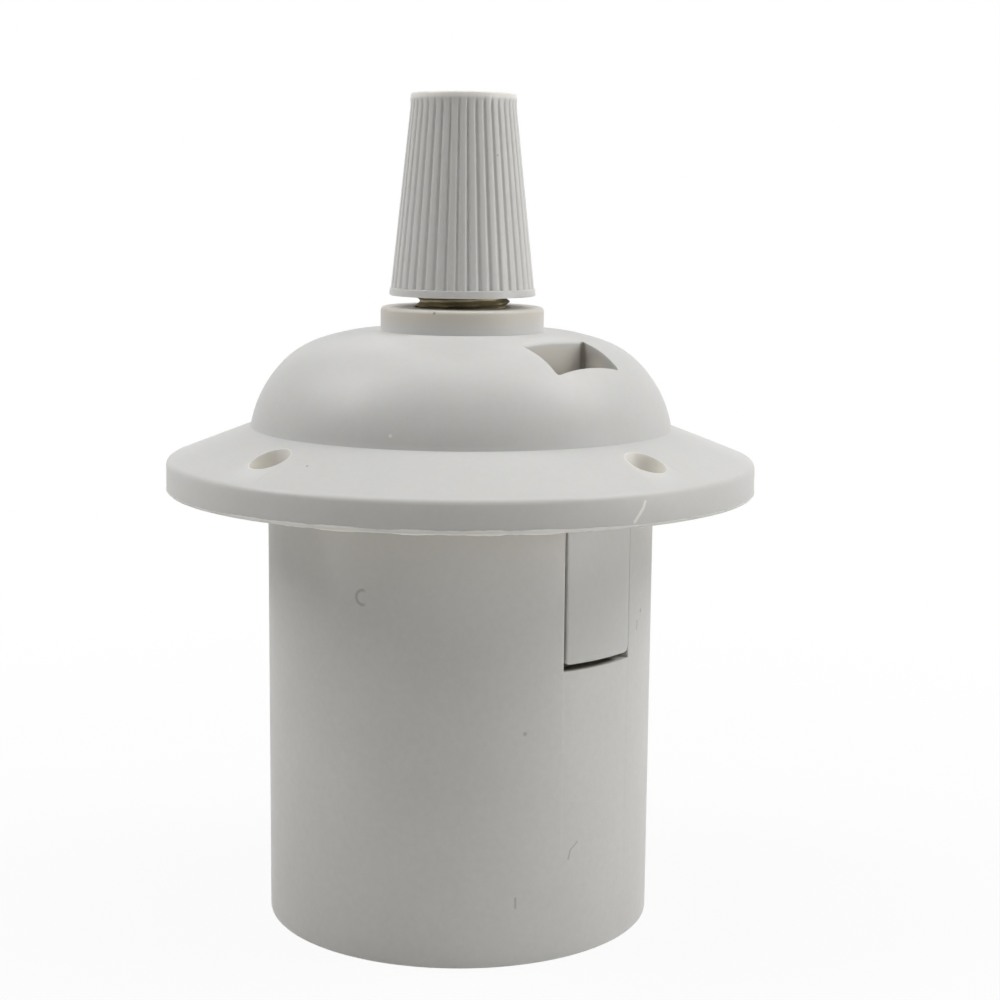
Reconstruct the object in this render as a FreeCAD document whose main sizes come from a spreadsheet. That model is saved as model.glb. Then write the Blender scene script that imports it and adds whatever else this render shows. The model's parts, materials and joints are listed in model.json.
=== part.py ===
import FreeCAD, Part
import math
import os

import Sketcher

# Snap-together lamp holder for an E27 lamp: a plain skirt and a flanged dome cap closed by two latch tongues,
# with the screw sleeve and the contacts clamped between them, and a cord grip on a threaded stem at the crown.
# Millimetres. Z is the axis of the holder, up from the mouth of the skirt; the latches lie on X, the terminals on Y.

SIZES = {
    # screw sleeve, which sets the width of the holder
    "thread_crest_radius": 12.2,
    "thread_depth": 1.1,
    "thread_pitch": 3.629,
    "thread_root_width": 1.0,
    "thread_mouth_width": 2.6,
    "relief_depth": 1.4,
    "relief_length": 4.7,
    "sleeve_wall": 1.8,
    "sleeve_length": 24.5,
    "sleeve_lead": 0.8,
    "sleeve_flange_thickness": 1.8,
    "sleeve_gap": 0.3,
    "rim_gap": 0.3,
    "contact_slot_gap": 0.4,
    "contact_slot_floor": 0.5,
    # skirt
    "skirt_length": 49.0,
    "skirt_wall": 1.8,
    "skirt_edge": 0.3,
    "ledge_drop": 12.5,
    "ledge_thickness": 2.0,
    "ledge_reach": 2.5,
    "ledge_lap": 0.05,
    "key_width": 2.0,
    "key_depth": 1.1,
    "key_gap": 0.3,
    # latch tongues of the cap and their notches in the skirt
    "latch_count": 2,
    "latch_angle": 25.2,
    "latch_side_gap_angle": 1.0,
    "latch_thickness": 1.4,
    "latch_tip": 0.8,
    "latch_end_gap": 0.65,
    "latch_corner": 0.6,
    "hook_reach": 1.6,
    "hook_length": 3.6,
    "hook_lead": 1.2,
    "hook_gap": 0.2,
    # flange
    "flange_width": 8.7,
    "flange_drop": 4.1,
    "flange_rim_length": 3.1,
    "flange_rise": 3.35,
    "flange_wall": 2.3,
    "flange_lip": 2.0,
    "flange_edge": 0.2,
    "flange_hole_count": 4,
    "flange_hole_radius": 2.0,
    "flange_hole_margin": 1.145,
    # dome, with a windowed shaft over each latch
    "dome_centre_rise": 0.28,
    "dome_overhang": 1.92,
    "dome_flat": 1.21,
    "dome_wall": 2.0,
    "window_depth": 4.95,
    "window_width": 8.82,
    "window_gap": 0.8,
    "shaft_wall": 1.0,
    "shaft_gap": 1.0,
    # spigot of the cap, which clamps what stands on the ledge
    "spigot_gap": 0.2,
    "spigot_wall": 1.6,
    "spigot_web": 1.8,
    "spigot_slot_gap_angle": 3.4,
    "seat_land": 0.4,
    # boss and stem
    "boss_radius": 8.4,
    "boss_height": 2.01,
    "stem_radius": 4.95,
    "stem_fit": 0.05,
    "stem_edge": 0.4,
    "stem_below_nut": 0.9,
    "stem_slot_width": 1.6,
    "stem_slot_rise": 1.35,
    "nut_flats": 14.0,
    "nut_thickness": 3.1,
    "nut_chamfer": 0.7,
    # contact carrier
    "carrier_rim_thickness": 2.2,
    "carrier_height": 9.7,
    "carrier_gap": 0.4,
    "carrier_floor": 2.7,
    "carrier_side_wall": 1.6,
    "chamber_wall": 2.2,
    "chamber_gap": 0.3,
    "core_wall": 1.9,
    "core_width": 5.6,
    "core_half_length": 9.0,
    # contact strips and their rivets
    "strip_thickness": 0.5,
    "strip_width": 5.0,
    "strip_margin": 2.4,
    "centre_tip_drop": 4.2,
    "centre_knee": 1.2,
    "centre_tail": 2.2,
    "centre_tail_rise": 0.6,
    "side_leaf_gap": 0.5,
    "side_touch_gap": 0.4,
    "side_shoulder_drop": 3.9,
    "side_bow_above": 3.4,
    "side_bow_below": 2.8,
    "side_foot": 1.4,
    "rivet_radius": 1.5,
    "rivet_fit": 0.05,
    "rivet_head": 0.8,
    "rivet_head_overlap": 0.8,
    # terminals
    "terminal_size": 6.0,
    "terminal_thickness": 4.6,
    "terminal_plate": 1.0,
    "terminal_edge": 0.3,
    "terminal_gap": 0.2,
    "screw_radius": 1.5,
    "screw_fit": 0.05,
    "screw_head": 2.1,
    "screw_head_overlap": 1.1,
    "screw_slot_width": 0.8,
    "screw_slot_depth": 1.0,
    "screw_end_gap": 0.6,
    "clamp_thickness": 0.8,
    "clamp_lift": 0.3,
    "clamp_inset": 0.1,
    "clamp_hole_gap": 0.2,
    "clamp_tab": 0.5,
    "clamp_tab_gap": 0.6,
    "clamp_head_gap": 0.1,
    # cord grip
    "grip_gap": 1.16,
    "grip_length": 20.04,
    "grip_base_radius": 7.53,
    "grip_top_radius": 5.38,
    "grip_crown": 0.35,
    "grip_mouth_edge": 0.35,
    "grip_thread_fit": 0.1,
    "grip_throat_length": 3.3,
    "grip_throat_gap": 0.5,
    "grip_cone_length": 6.0,
    "flute_count": 40,
    "flute_depth": 0.3,
    "flute_share": 0.46,
    "flute_floor_share": 0.4,
    "flute_base": 0.75,
    "flute_top_margin": 0.45,
    "flute_over": 0.1,
    # collet between stem and grip
    "collet_bore": 3.1,
    "collet_wall": 0.72,
    "collet_fit": 0.08,
    "collet_gap": 0.3,
    "collet_head_rise": 1.5,
    "collet_head_margin": 1.5,
    "collet_tail": 0.45,
    "collet_slit": 0.8,
    "collet_slit_lead": 2.4,
    "collet_lug_rise": 1.05,
    "collet_lug_length": 4.0,
    "collet_lug_side_gap": 0.1,
    "stem_cone_gap": 4.0,
}

os.makedirs("parts", exist_ok=True)
doc = FreeCAD.newDocument("lamp_holder")
sheet = doc.addObject("Spreadsheet::Sheet", "Sizes")


def value_of(size):
    return size.value if isinstance(size, Size) else float(size)


def text_of(size):
    return size.text if isinstance(size, Size) else repr(float(size))


class Size:
    """A length, angle or count: its number now, and the sheet expression that drives it."""

    def __init__(self, value, text):
        self.value = value
        self.text = text

    def __add__(self, other):
        return Size(self.value + value_of(other), f"({self.text} + {text_of(other)})")

    def __sub__(self, other):
        return Size(self.value - value_of(other), f"({self.text} - {text_of(other)})")

    def __mul__(self, other):
        return Size(self.value * value_of(other), f"({self.text} * {text_of(other)})")

    def __truediv__(self, other):
        return Size(self.value / value_of(other), f"({self.text} / {text_of(other)})")

    def __neg__(self):
        return Size(-self.value, f"(-1 * {self.text})")


class Guess(float):
    """A coordinate that the sketch works out from the curve which ends there."""


class Sizes:
    """Every driving dimension by name."""


def write_sheet():
    sizes = Sizes()
    for row, (name, number) in enumerate(SIZES.items(), start=1):
        sheet.set(f"A{row}", name)
        sheet.set(f"B{row}", str(number))
        sheet.setAlias(f"B{row}", name)
        setattr(sizes, name, Size(number, f"Sizes.{name}"))
    doc.recompute()
    return sizes


d = write_sheet()


def root(size):
    """The square root of a worked-out size."""
    return Size(math.sqrt(size.value), f"sqrt({size.text})")


def arc_reach(bend, rise):
    """How far an arc of radius bend reaches from its centre, at a distance rise from it the other way."""
    return root(bend * bend - rise * rise)


def arc_height(bend, reach):
    """The height of an arc of the dome, at a distance from the axis."""
    return dome_centre_height + arc_reach(bend, reach - dome_centre_radius)


# Places that several pieces share. From the axis out: sleeve, ledge, skirt, dome, flange.
zero = Size(0.0, "0")
relief_radius = d.thread_crest_radius + d.relief_depth
sleeve_radius = relief_radius + d.sleeve_wall
ledge_bore = sleeve_radius + d.sleeve_gap
skirt_bore = ledge_bore + d.ledge_reach
skirt_radius = skirt_bore + d.skirt_wall
rim_radius = skirt_bore - d.rim_gap
contact_slot_radius = sleeve_radius - d.contact_slot_floor
contact_slot_half = d.strip_width / 2 + d.contact_slot_gap
leaf_radius = contact_slot_radius - d.side_leaf_gap

# Up from the ledge, which stands below the top of the skirt
ledge_top = d.skirt_length - d.ledge_drop
sleeve_base = ledge_top - d.sleeve_length
sleeve_top = ledge_top + d.sleeve_flange_thickness
thread_end = sleeve_top - d.relief_length
rim_top = sleeve_top + d.carrier_rim_thickness
carrier_top = sleeve_top + d.carrier_height
strip_base = sleeve_top - d.strip_thickness

# Latches, from their hooks under the ledge
latch_bore = skirt_radius - d.latch_thickness
hook_top = ledge_top - d.ledge_thickness - d.hook_gap
hook_base = hook_top - d.hook_length
latch_end = hook_base - d.latch_tip

# Dome and flange
dome_bend = skirt_radius + d.dome_overhang - d.boss_radius - d.dome_flat
dome_centre_radius = d.boss_radius + d.dome_flat
dome_centre_height = d.skirt_length + d.dome_centre_rise
dome_inner_bend = dome_bend - d.dome_wall
crown_top = dome_centre_height + dome_bend
crown_ceiling = crown_top - d.dome_wall
boss_top = crown_top + d.boss_height
web_top = d.skirt_length + d.spigot_web
web_radius = dome_centre_radius + arc_reach(dome_inner_bend, web_top - dome_centre_height)
flange_rim_base = d.skirt_length - d.flange_drop
flange_rim_top = flange_rim_base + d.flange_rim_length
dome_foot_height = flange_rim_top + d.flange_rise
dome_foot_radius = dome_centre_radius + arc_reach(dome_bend, dome_foot_height - dome_centre_height)
flange_radius = dome_foot_radius + d.flange_width
flange_slope = d.flange_rise / d.flange_width
flange_lip_bore = flange_radius - d.flange_lip
flange_hole_place = flange_lip_bore - d.flange_hole_margin - d.flange_hole_radius
window_outer = latch_bore - d.window_gap
window_inner = window_outer - d.window_depth
shaft_inner = window_inner - d.shaft_wall

# Contact carrier, from its wall in to the rivets
block_radius = skirt_bore - d.spigot_gap - d.spigot_wall - d.carrier_gap
chamber_floor = sleeve_top + d.carrier_floor
chamber_outer = block_radius - d.chamber_wall
terminal_half = d.terminal_size / 2
terminal_place = chamber_outer - d.chamber_gap - terminal_half
terminal_inner = terminal_place - terminal_half
rivet_head_radius = d.rivet_radius + d.rivet_head_overlap
rivet_place = terminal_inner - d.terminal_gap - rivet_head_radius
chamber_inner = rivet_place - rivet_head_radius - d.chamber_gap
chamber_half = terminal_half + d.chamber_gap
core_inner = chamber_half + d.core_wall
core_outer = core_inner + d.core_width
carrier_flat = core_outer + d.carrier_side_wall
strip_end = rivet_place - d.strip_margin
plate_top = chamber_floor + d.terminal_plate
terminal_top = chamber_floor + d.terminal_thickness
clamp_base = terminal_top + d.clamp_lift
clamp_top = clamp_base + d.clamp_thickness
screw_head_base = clamp_top + d.clamp_head_gap
screw_head_radius = d.screw_radius + d.screw_head_overlap

# The bowed leaf of the side contact, down from its strip
side_shoulder_height = sleeve_top - d.side_shoulder_drop
side_touch_height = side_shoulder_height - d.side_bow_above
side_foot_height = side_touch_height - d.side_bow_below
side_leaf_base = side_foot_height - d.side_foot

# Cord grip, from the top down to the stem and the collet
nut_hole = d.stem_radius + d.stem_fit
nut_base = crown_ceiling - d.nut_thickness
stem_base = nut_base - d.stem_below_nut
stem_bore = d.collet_bore + d.collet_wall + d.collet_fit
grip_base = boss_top + d.grip_gap
grip_top = grip_base + d.grip_length
grip_bore = d.stem_radius + d.grip_thread_fit
grip_lean = (d.grip_base_radius - d.grip_top_radius) / d.grip_length
grip_throat_height = grip_top - d.grip_throat_length
grip_throat_radius = d.collet_bore + d.grip_throat_gap
grip_cone_height = grip_throat_height - d.grip_cone_length
stem_top = grip_cone_height - d.stem_cone_gap
stem_slot_base = boss_top + d.stem_slot_rise
collet_base = stem_slot_base - d.collet_tail
collet_head_base = stem_top + d.collet_head_rise
collet_head_top = grip_throat_height - d.collet_head_margin


def bind(thing, prop, size):
    """Give a property its number, and its expression where a driving dimension sets it."""
    number = value_of(size)
    setattr(thing, prop, int(round(number)) if prop == "Occurrences" else number)
    if isinstance(size, Size):
        thing.setExpression(prop, size.text)


def new_body(name):
    body = doc.addObject("PartDesign::Body", name)
    body.Label = name
    return body


def origin_feature(body, role):
    return next(f for f in body.Origin.OriginFeatures if f.Role == role)


def new_sketch(body, name, plane="XZ_Plane", offset=None):
    sketch = body.newObject("Sketcher::SketchObject", f"{body.Name}_{name}_sketch")
    sketch.AttachmentSupport = [(origin_feature(body, plane), "")]
    sketch.MapMode = "FlatFace"
    if offset is not None:
        shift = FreeCAD.Vector(0, 0, offset.value)
        sketch.AttachmentOffset = FreeCAD.Placement(shift, FreeCAD.Rotation())
        sketch.setExpression("AttachmentOffset.Base.z", offset.text)
    return sketch


def locate(sketch, geometry, point, x, y):
    """Hold a sketch point at x, y, apart from a coordinate that is a guess."""
    for kind, axis, size in (("DistanceX", -2, x), ("DistanceY", -1, y)):
        if isinstance(size, Guess):
            continue
        if isinstance(size, Size) and size is not zero:
            index = sketch.addConstraint(Sketcher.Constraint(kind, -1, 1, geometry, point, size.value))
            sketch.setExpression(f"Constraints[{index}]", size.text)
        else:
            sketch.addConstraint(Sketcher.Constraint("PointOnObject", geometry, point, axis))


def hold_radius(sketch, geometry, radius):
    index = sketch.addConstraint(Sketcher.Constraint("Radius", geometry, radius.value))
    sketch.setExpression(f"Constraints[{index}]", radius.text)


def draw_loop(sketch, corners, arcs=None):
    """Close a loop through the corners. arcs gives centre x, centre y and radius for an edge, by its number."""
    arcs = arcs or {}
    points = [FreeCAD.Vector(value_of(x), value_of(y), 0) for x, y in corners]
    starts, ends = [], []
    for number, point in enumerate(points):
        after = points[(number + 1) % len(points)]
        if number not in arcs:
            edge = sketch.addGeometry(Part.LineSegment(point, after), False)
            starts.append((edge, 1))
            ends.append((edge, 2))
            continue
        centre_x, centre_y, radius = arcs[number]
        centre = FreeCAD.Vector(value_of(centre_x), value_of(centre_y), 0)
        angles = [math.atan2(p.y - centre.y, p.x - centre.x) for p in (point, after)]
        forward = (angles[1] - angles[0]) % (2 * math.pi) < math.pi
        if not forward:
            angles.reverse()
        circle = Part.Circle(centre, FreeCAD.Vector(0, 0, 1), radius.value)
        edge = sketch.addGeometry(Part.ArcOfCircle(circle, *angles), False)
        starts.append((edge, 1 if forward else 2))
        ends.append((edge, 2 if forward else 1))
        locate(sketch, edge, 3, centre_x, centre_y)
        hold_radius(sketch, edge, radius)
    for number, end in enumerate(ends):
        after = starts[(number + 1) % len(starts)]
        sketch.addConstraint(Sketcher.Constraint("Coincident", *end, *after))
    for start, (x, y) in zip(starts, corners):
        locate(sketch, *start, x, y)


def draw_box(sketch, low_x, high_x, low_y, high_y):
    draw_loop(sketch, [(low_x, low_y), (high_x, low_y), (high_x, high_y), (low_x, high_y)])


def draw_circle(sketch, x, y, radius):
    centre = FreeCAD.Vector(value_of(x), value_of(y), 0)
    circle = Part.Circle(centre, FreeCAD.Vector(0, 0, 1), radius.value)
    edge = sketch.addGeometry(circle, False)
    locate(sketch, edge, 3, x, y)
    hold_radius(sketch, edge, radius)


def finish_feature(body, feature, gains):
    """Recompute, and make sure that the feature adds or takes material as it should."""
    before = getattr(body, "solid_volume", 0.0)
    doc.recompute()
    after = feature.Shape.Volume if feature.Shape.Solids else 0.0
    if after <= 0 or (after <= before if gains else after >= before):
        raise RuntimeError(f"{feature.Name} changed the volume from {before:.2f} to {after:.2f}")
    if not hasattr(body, "solid_volume"):
        body.addProperty("App::PropertyFloat", "solid_volume")
    body.solid_volume = after
    return feature


def turn(body, name, sketch, angle=None, cut=False):
    """Revolve a sketch about Z, all round or through an angle centred on its own plane."""
    kind = "Groove" if cut else "Revolution"
    feature = body.newObject(f"PartDesign::{kind}", f"{body.Name}_{name}")
    feature.Profile = (sketch, [""])
    feature.ReferenceAxis = (sketch, ["V_Axis"])
    if angle is None:
        feature.Angle = 360.0
    else:
        feature.Midplane = True
        bind(feature, "Angle", angle)
    return finish_feature(body, feature, not cut)


def pad(body, name, sketch, length, both_ways=False):
    feature = body.newObject("PartDesign::Pad", f"{body.Name}_{name}")
    feature.Profile = (sketch, [""])
    bind(feature, "Length", length)
    if both_ways:
        feature.SideType = "Symmetric"
    return finish_feature(body, feature, True)


def pocket_up(body, name, sketch, length):
    """Cut from the sketch's plane towards +Z."""
    feature = body.newObject("PartDesign::Pocket", f"{body.Name}_{name}")
    feature.Profile = (sketch, [""])
    feature.Reversed = True
    bind(feature, "Length", length)
    return finish_feature(body, feature, False)


def repeat_around(body, feature, count, gains):
    """Repeat a feature evenly round Z."""
    pattern = body.newObject("PartDesign::PolarPattern", f"{feature.Name}_ring")
    pattern.Originals = [feature]
    pattern.Axis = (origin_feature(body, "Z_Axis"), [""])
    pattern.Angle = 360.0
    bind(pattern, "Occurrences", count)
    body.Tip = pattern
    return finish_feature(body, pattern, gains)


def chamfer_edges(body, name, size, chosen):
    """Chamfer the edges for which chosen(edge) is true."""
    base = body.Tip
    names = [f"Edge{n}" for n, edge in enumerate(base.Shape.Edges, start=1) if chosen(edge)]
    feature = body.newObject("PartDesign::Chamfer", f"{body.Name}_{name}")
    feature.Base = (base, names)
    bind(feature, "Size", size)
    return finish_feature(body, feature, False)


def fillet_edges(body, name, radius, chosen):
    """Round the edges for which chosen(edge) is true."""
    base = body.Tip
    names = [f"Edge{n}" for n, edge in enumerate(base.Shape.Edges, start=1) if chosen(edge)]
    feature = body.newObject("PartDesign::Fillet", f"{body.Name}_{name}")
    feature.Base = (base, names)
    bind(feature, "Radius", radius)
    return finish_feature(body, feature, False)


def at_height(height):
    """A test for edges that lie flat at one height."""

    def chosen(edge):
        box = edge.BoundBox
        return abs(box.ZMin - height.value) < 0.01 and abs(box.ZMax - height.value) < 0.01

    return chosen


def cut_key_slots(body, name, base, length):
    """Slots at both ends of Y for the keys of the skirt."""
    half = d.key_width / 2 + d.key_gap
    inner = skirt_bore - d.key_depth - d.key_gap
    outer = skirt_radius
    sketch = new_sketch(body, name, "XY_Plane", base)
    draw_box(sketch, -half, half, inner, outer)
    draw_box(sketch, -half, half, -outer, -inner)
    return pocket_up(body, name, sketch, length)


def make_skirt_shell():
    body = new_body("skirt_shell")
    edge = d.skirt_edge
    sketch = new_sketch(body, "wall")
    corners = [
        (skirt_bore + edge, zero),
        (skirt_radius - edge, zero),
        (skirt_radius, edge),
        (skirt_radius, d.skirt_length),
        (skirt_bore, d.skirt_length),
        (skirt_bore, edge),
    ]
    draw_loop(sketch, corners)
    turn(body, "wall", sketch)

    notch_angle = d.latch_angle + d.latch_side_gap_angle * 2
    sketch = new_sketch(body, "notch")
    notch_base = latch_end - d.latch_end_gap
    draw_box(sketch, skirt_bore - d.skirt_wall, skirt_radius + d.skirt_wall,
             notch_base, d.skirt_length + d.skirt_wall)
    notch = turn(body, "notch", sketch, notch_angle, cut=True)
    repeat_around(body, notch, d.latch_count, gains=False)

    lap = d.ledge_lap
    sketch = new_sketch(body, "ledge")
    draw_box(sketch, ledge_bore, skirt_bore + lap, ledge_top - d.ledge_thickness, ledge_top)
    turn(body, "ledge", sketch)

    key_half = d.key_width / 2
    sketch = new_sketch(body, "key", "XY_Plane", ledge_top - lap)
    key_inner = skirt_bore - d.key_depth
    key_outer = skirt_bore + d.skirt_wall / 2
    draw_box(sketch, -key_half, key_half, key_inner, key_outer)
    draw_box(sketch, -key_half, key_half, -key_outer, -key_inner)
    pad(body, "key", sketch, rim_top - ledge_top + lap)
    return body


def make_dome_cap():
    body = new_body("dome_cap")
    spigot_radius = skirt_bore - d.spigot_gap
    spigot_bore = spigot_radius - d.spigot_wall
    lip_root = flange_rim_top + d.flange_lip * flange_slope - d.flange_wall
    seat_radius = skirt_radius + d.seat_land
    corners = [
        (nut_hole, crown_ceiling),
        (nut_hole, boss_top),
        (d.boss_radius, boss_top),
        (d.boss_radius, crown_top),
        (dome_centre_radius, Guess(crown_top.value)),
        (Guess(dome_foot_radius.value), dome_foot_height),
        (flange_radius - d.flange_edge, flange_rim_top + d.flange_edge * flange_slope),
        (flange_radius, flange_rim_top - d.flange_edge),
        (flange_radius, flange_rim_base),
        (flange_lip_bore, flange_rim_base),
        (flange_lip_bore, lip_root),
        (seat_radius, d.skirt_length),
        (spigot_radius, d.skirt_length),
        (spigot_radius, rim_top),
        (spigot_bore, rim_top),
        (spigot_bore, web_top),
        (Guess(web_radius.value), web_top),
        (dome_centre_radius, Guess(crown_ceiling.value)),
    ]
    arcs = {
        4: (dome_centre_radius, dome_centre_height, dome_bend),
        16: (dome_centre_radius, dome_centre_height, dome_inner_bend),
    }
    sketch = new_sketch(body, "shell")
    draw_loop(sketch, corners, arcs)
    turn(body, "shell", sketch)

    sketch = new_sketch(body, "spigot_slot")
    draw_box(sketch, spigot_bore - d.spigot_wall, spigot_radius + d.spigot_gap,
             rim_top - d.spigot_wall, d.skirt_length)
    slot_angle = d.latch_angle + d.spigot_slot_gap_angle * 2
    slot = turn(body, "spigot_slot", sketch, slot_angle, cut=True)
    repeat_around(body, slot, d.latch_count, gains=False)

    window_half = d.window_width / 2
    shaft_base = carrier_top + d.shaft_gap
    shaft_bend = dome_bend - d.dome_wall / 2
    shaft_corners = [
        (shaft_inner, shaft_base),
        (web_radius, shaft_base),
        (web_radius, Guess(arc_height(shaft_bend, web_radius).value)),
        (shaft_inner, Guess(arc_height(shaft_bend, shaft_inner).value)),
    ]
    sketch = new_sketch(body, "shaft")
    draw_loop(sketch, shaft_corners, {2: (dome_centre_radius, dome_centre_height, shaft_bend)})
    shaft = pad(body, "shaft", sketch, (window_half + d.shaft_wall) * 2, both_ways=True)
    repeat_around(body, shaft, d.latch_count, gains=True)

    sketch = new_sketch(body, "window", "XY_Plane", rim_top)
    draw_box(sketch, window_inner, window_outer, -window_half, window_half)
    window = pocket_up(body, "window", sketch, crown_top - rim_top + d.dome_wall)
    repeat_around(body, window, d.latch_count, gains=False)

    hook_bore = latch_bore - d.hook_reach
    sketch = new_sketch(body, "latch")
    latch_corners = [
        (latch_bore, latch_end),
        (skirt_radius, latch_end),
        (skirt_radius, d.skirt_length + d.spigot_web / 2),
        (latch_bore, d.skirt_length + d.spigot_web / 2),
        (latch_bore, hook_top),
        (hook_bore, hook_top),
        (hook_bore, hook_base + d.hook_lead),
        (latch_bore, hook_base),
    ]
    draw_loop(sketch, latch_corners)
    latch = turn(body, "latch", sketch, d.latch_angle)
    repeat_around(body, latch, d.latch_count, gains=True)

    tip = latch_end.value

    def tongue_corner(edge):
        """The two short radial edges at the tip of each tongue."""
        box = edge.BoundBox
        flat = abs(box.ZMin - tip) < 0.01 and abs(box.ZMax - tip) < 0.01
        return flat and edge.Curve.TypeId == "Part::GeomLine"

    fillet_edges(body, "latch_corners", d.latch_corner, tongue_corner)

    sketch = new_sketch(body, "flange_hole", "XY_Plane", flange_rim_base)
    draw_circle(sketch, flange_hole_place, zero, d.flange_hole_radius)
    hole = pocket_up(body, "flange_hole", sketch, d.flange_rim_length + d.flange_rise)
    repeat_around(body, hole, d.flange_hole_count, gains=False)
    return body


def make_thread_sleeve():
    body = new_body("thread_sleeve")
    bore, lead = d.thread_crest_radius, d.sleeve_lead
    sketch = new_sketch(body, "tube")
    corners = [
        (bore + lead, sleeve_base),
        (sleeve_radius, sleeve_base),
        (sleeve_radius, ledge_top),
        (rim_radius, ledge_top),
        (rim_radius, sleeve_top),
        (relief_radius, sleeve_top),
        (relief_radius, thread_end),
        (bore, thread_end),
        (bore, sleeve_base + lead),
    ]
    draw_loop(sketch, corners)
    turn(body, "tube", sketch)

    slot_base = side_leaf_base - d.contact_slot_gap
    sketch = new_sketch(body, "contact_slot", "XY_Plane", slot_base)
    draw_box(sketch, -contact_slot_half, contact_slot_half, -contact_slot_radius, -bore + d.thread_depth)
    pocket_up(body, "contact_slot", sketch, sleeve_top - slot_base)
    cut_key_slots(body, "key_slot", ledge_top, d.sleeve_flange_thickness)
    cut_lamp_thread(body, bore)
    return body


def cut_lamp_thread(body, bore):
    """The screw thread for the lamp, cut last because later features can't be made on its helix."""
    start = sleeve_base - d.thread_pitch / 2
    root_half = d.thread_root_width / 2
    mouth_half = d.thread_mouth_width / 2
    flare = (mouth_half - root_half) / 2
    root_radius = bore + d.thread_depth
    inside = bore - d.thread_depth / 2
    sketch = new_sketch(body, "thread")
    corners = [
        (inside, start - mouth_half - flare),
        (root_radius, start - root_half),
        (root_radius, start + root_half),
        (inside, start + mouth_half + flare),
    ]
    draw_loop(sketch, corners)
    thread = body.newObject("PartDesign::SubtractiveHelix", f"{body.Name}_thread")
    thread.Profile = (sketch, [""])
    thread.ReferenceAxis = (sketch, ["V_Axis"])
    thread.Mode = "pitch-height-angle"
    bind(thread, "Pitch", d.thread_pitch)
    bind(thread, "Height", thread_end + d.thread_pitch - start)
    finish_feature(body, thread, gains=False)


def make_contact_carrier():
    body = new_body("contact_carrier")
    sketch = new_sketch(body, "rim", "XY_Plane", sleeve_top)
    draw_circle(sketch, zero, zero, rim_radius)
    pad(body, "rim", sketch, d.carrier_rim_thickness)

    flat = carrier_flat
    flat_reach = arc_reach(block_radius, flat).value
    sketch = new_sketch(body, "block", "XY_Plane", sleeve_top)
    corners = [
        (flat, Guess(-flat_reach)),
        (flat, Guess(flat_reach)),
        (-flat, Guess(flat_reach)),
        (-flat, Guess(-flat_reach)),
    ]
    draw_loop(sketch, corners, {1: (zero, zero, block_radius), 3: (zero, zero, block_radius)})
    pad(body, "block", sketch, carrier_top - sleeve_top)

    chamber_depth = carrier_top - chamber_floor
    sketch = new_sketch(body, "chamber", "XY_Plane", chamber_floor)
    draw_box(sketch, -chamber_half, chamber_half, chamber_inner, chamber_outer)
    draw_box(sketch, -chamber_half, chamber_half, -chamber_outer, -chamber_inner)
    draw_box(sketch, core_inner, core_outer, -d.core_half_length, d.core_half_length)
    draw_box(sketch, -core_outer, -core_inner, -d.core_half_length, d.core_half_length)
    pocket_up(body, "chamber", sketch, chamber_depth)

    rivet_hole = d.rivet_radius + d.rivet_fit
    sketch = new_sketch(body, "rivet_hole", "XY_Plane", sleeve_top)
    draw_circle(sketch, zero, rivet_place, rivet_hole)
    draw_circle(sketch, zero, -rivet_place, rivet_hole)
    pocket_up(body, "rivet_hole", sketch, d.carrier_floor)
    cut_key_slots(body, "key_slot", sleeve_top, d.carrier_rim_thickness)
    return body


def drill_strip(body, place):
    """The rivet hole of a contact strip."""
    sketch = new_sketch(body, "rivet_hole", "XY_Plane", strip_base)
    draw_circle(sketch, zero, place, d.rivet_radius + d.rivet_fit)
    pocket_up(body, "rivet_hole", sketch, d.strip_thickness)


def make_centre_contact():
    body = new_body("centre_contact")
    thick = d.strip_thickness
    far_end = rivet_place + d.strip_margin
    tip_height = sleeve_top - d.centre_tip_drop
    tail = d.centre_knee + d.centre_tail
    sketch = new_sketch(body, "strip", "YZ_Plane")
    corners = [
        (far_end, strip_base),
        (far_end, sleeve_top),
        (strip_end - thick, sleeve_top),
        (-d.centre_knee, tip_height + thick),
        (-tail, tip_height + d.centre_tail_rise + thick),
        (-tail, tip_height + d.centre_tail_rise),
        (-d.centre_knee, tip_height),
        (strip_end - thick, strip_base),
    ]
    draw_loop(sketch, corners)
    pad(body, "strip", sketch, d.strip_width, both_ways=True)
    drill_strip(body, rivet_place)
    return body


def make_side_contact():
    body = new_body("side_contact")
    thick = d.strip_thickness
    touch = d.thread_crest_radius + d.side_touch_gap
    sketch = new_sketch(body, "strip", "YZ_Plane")
    corners = [
        (-strip_end, strip_base),
        (-strip_end, sleeve_top),
        (-leaf_radius, sleeve_top),
        (-leaf_radius, side_shoulder_height),
        (-touch - thick, side_touch_height),
        (-leaf_radius, side_foot_height),
        (-leaf_radius, side_leaf_base),
        (thick - leaf_radius, side_leaf_base),
        (thick - leaf_radius, side_foot_height),
        (-touch, side_touch_height),
        (thick - leaf_radius, side_shoulder_height),
        (thick - leaf_radius, strip_base),
    ]
    draw_loop(sketch, corners)
    pad(body, "strip", sketch, d.strip_width, both_ways=True)
    drill_strip(body, -rivet_place)
    return body


def half_turn(body):
    """Carry a piece made on the +Y side to the -Y side."""
    body.Placement = FreeCAD.Placement(FreeCAD.Vector(), FreeCAD.Rotation(FreeCAD.Vector(0, 0, 1), 180))


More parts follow.
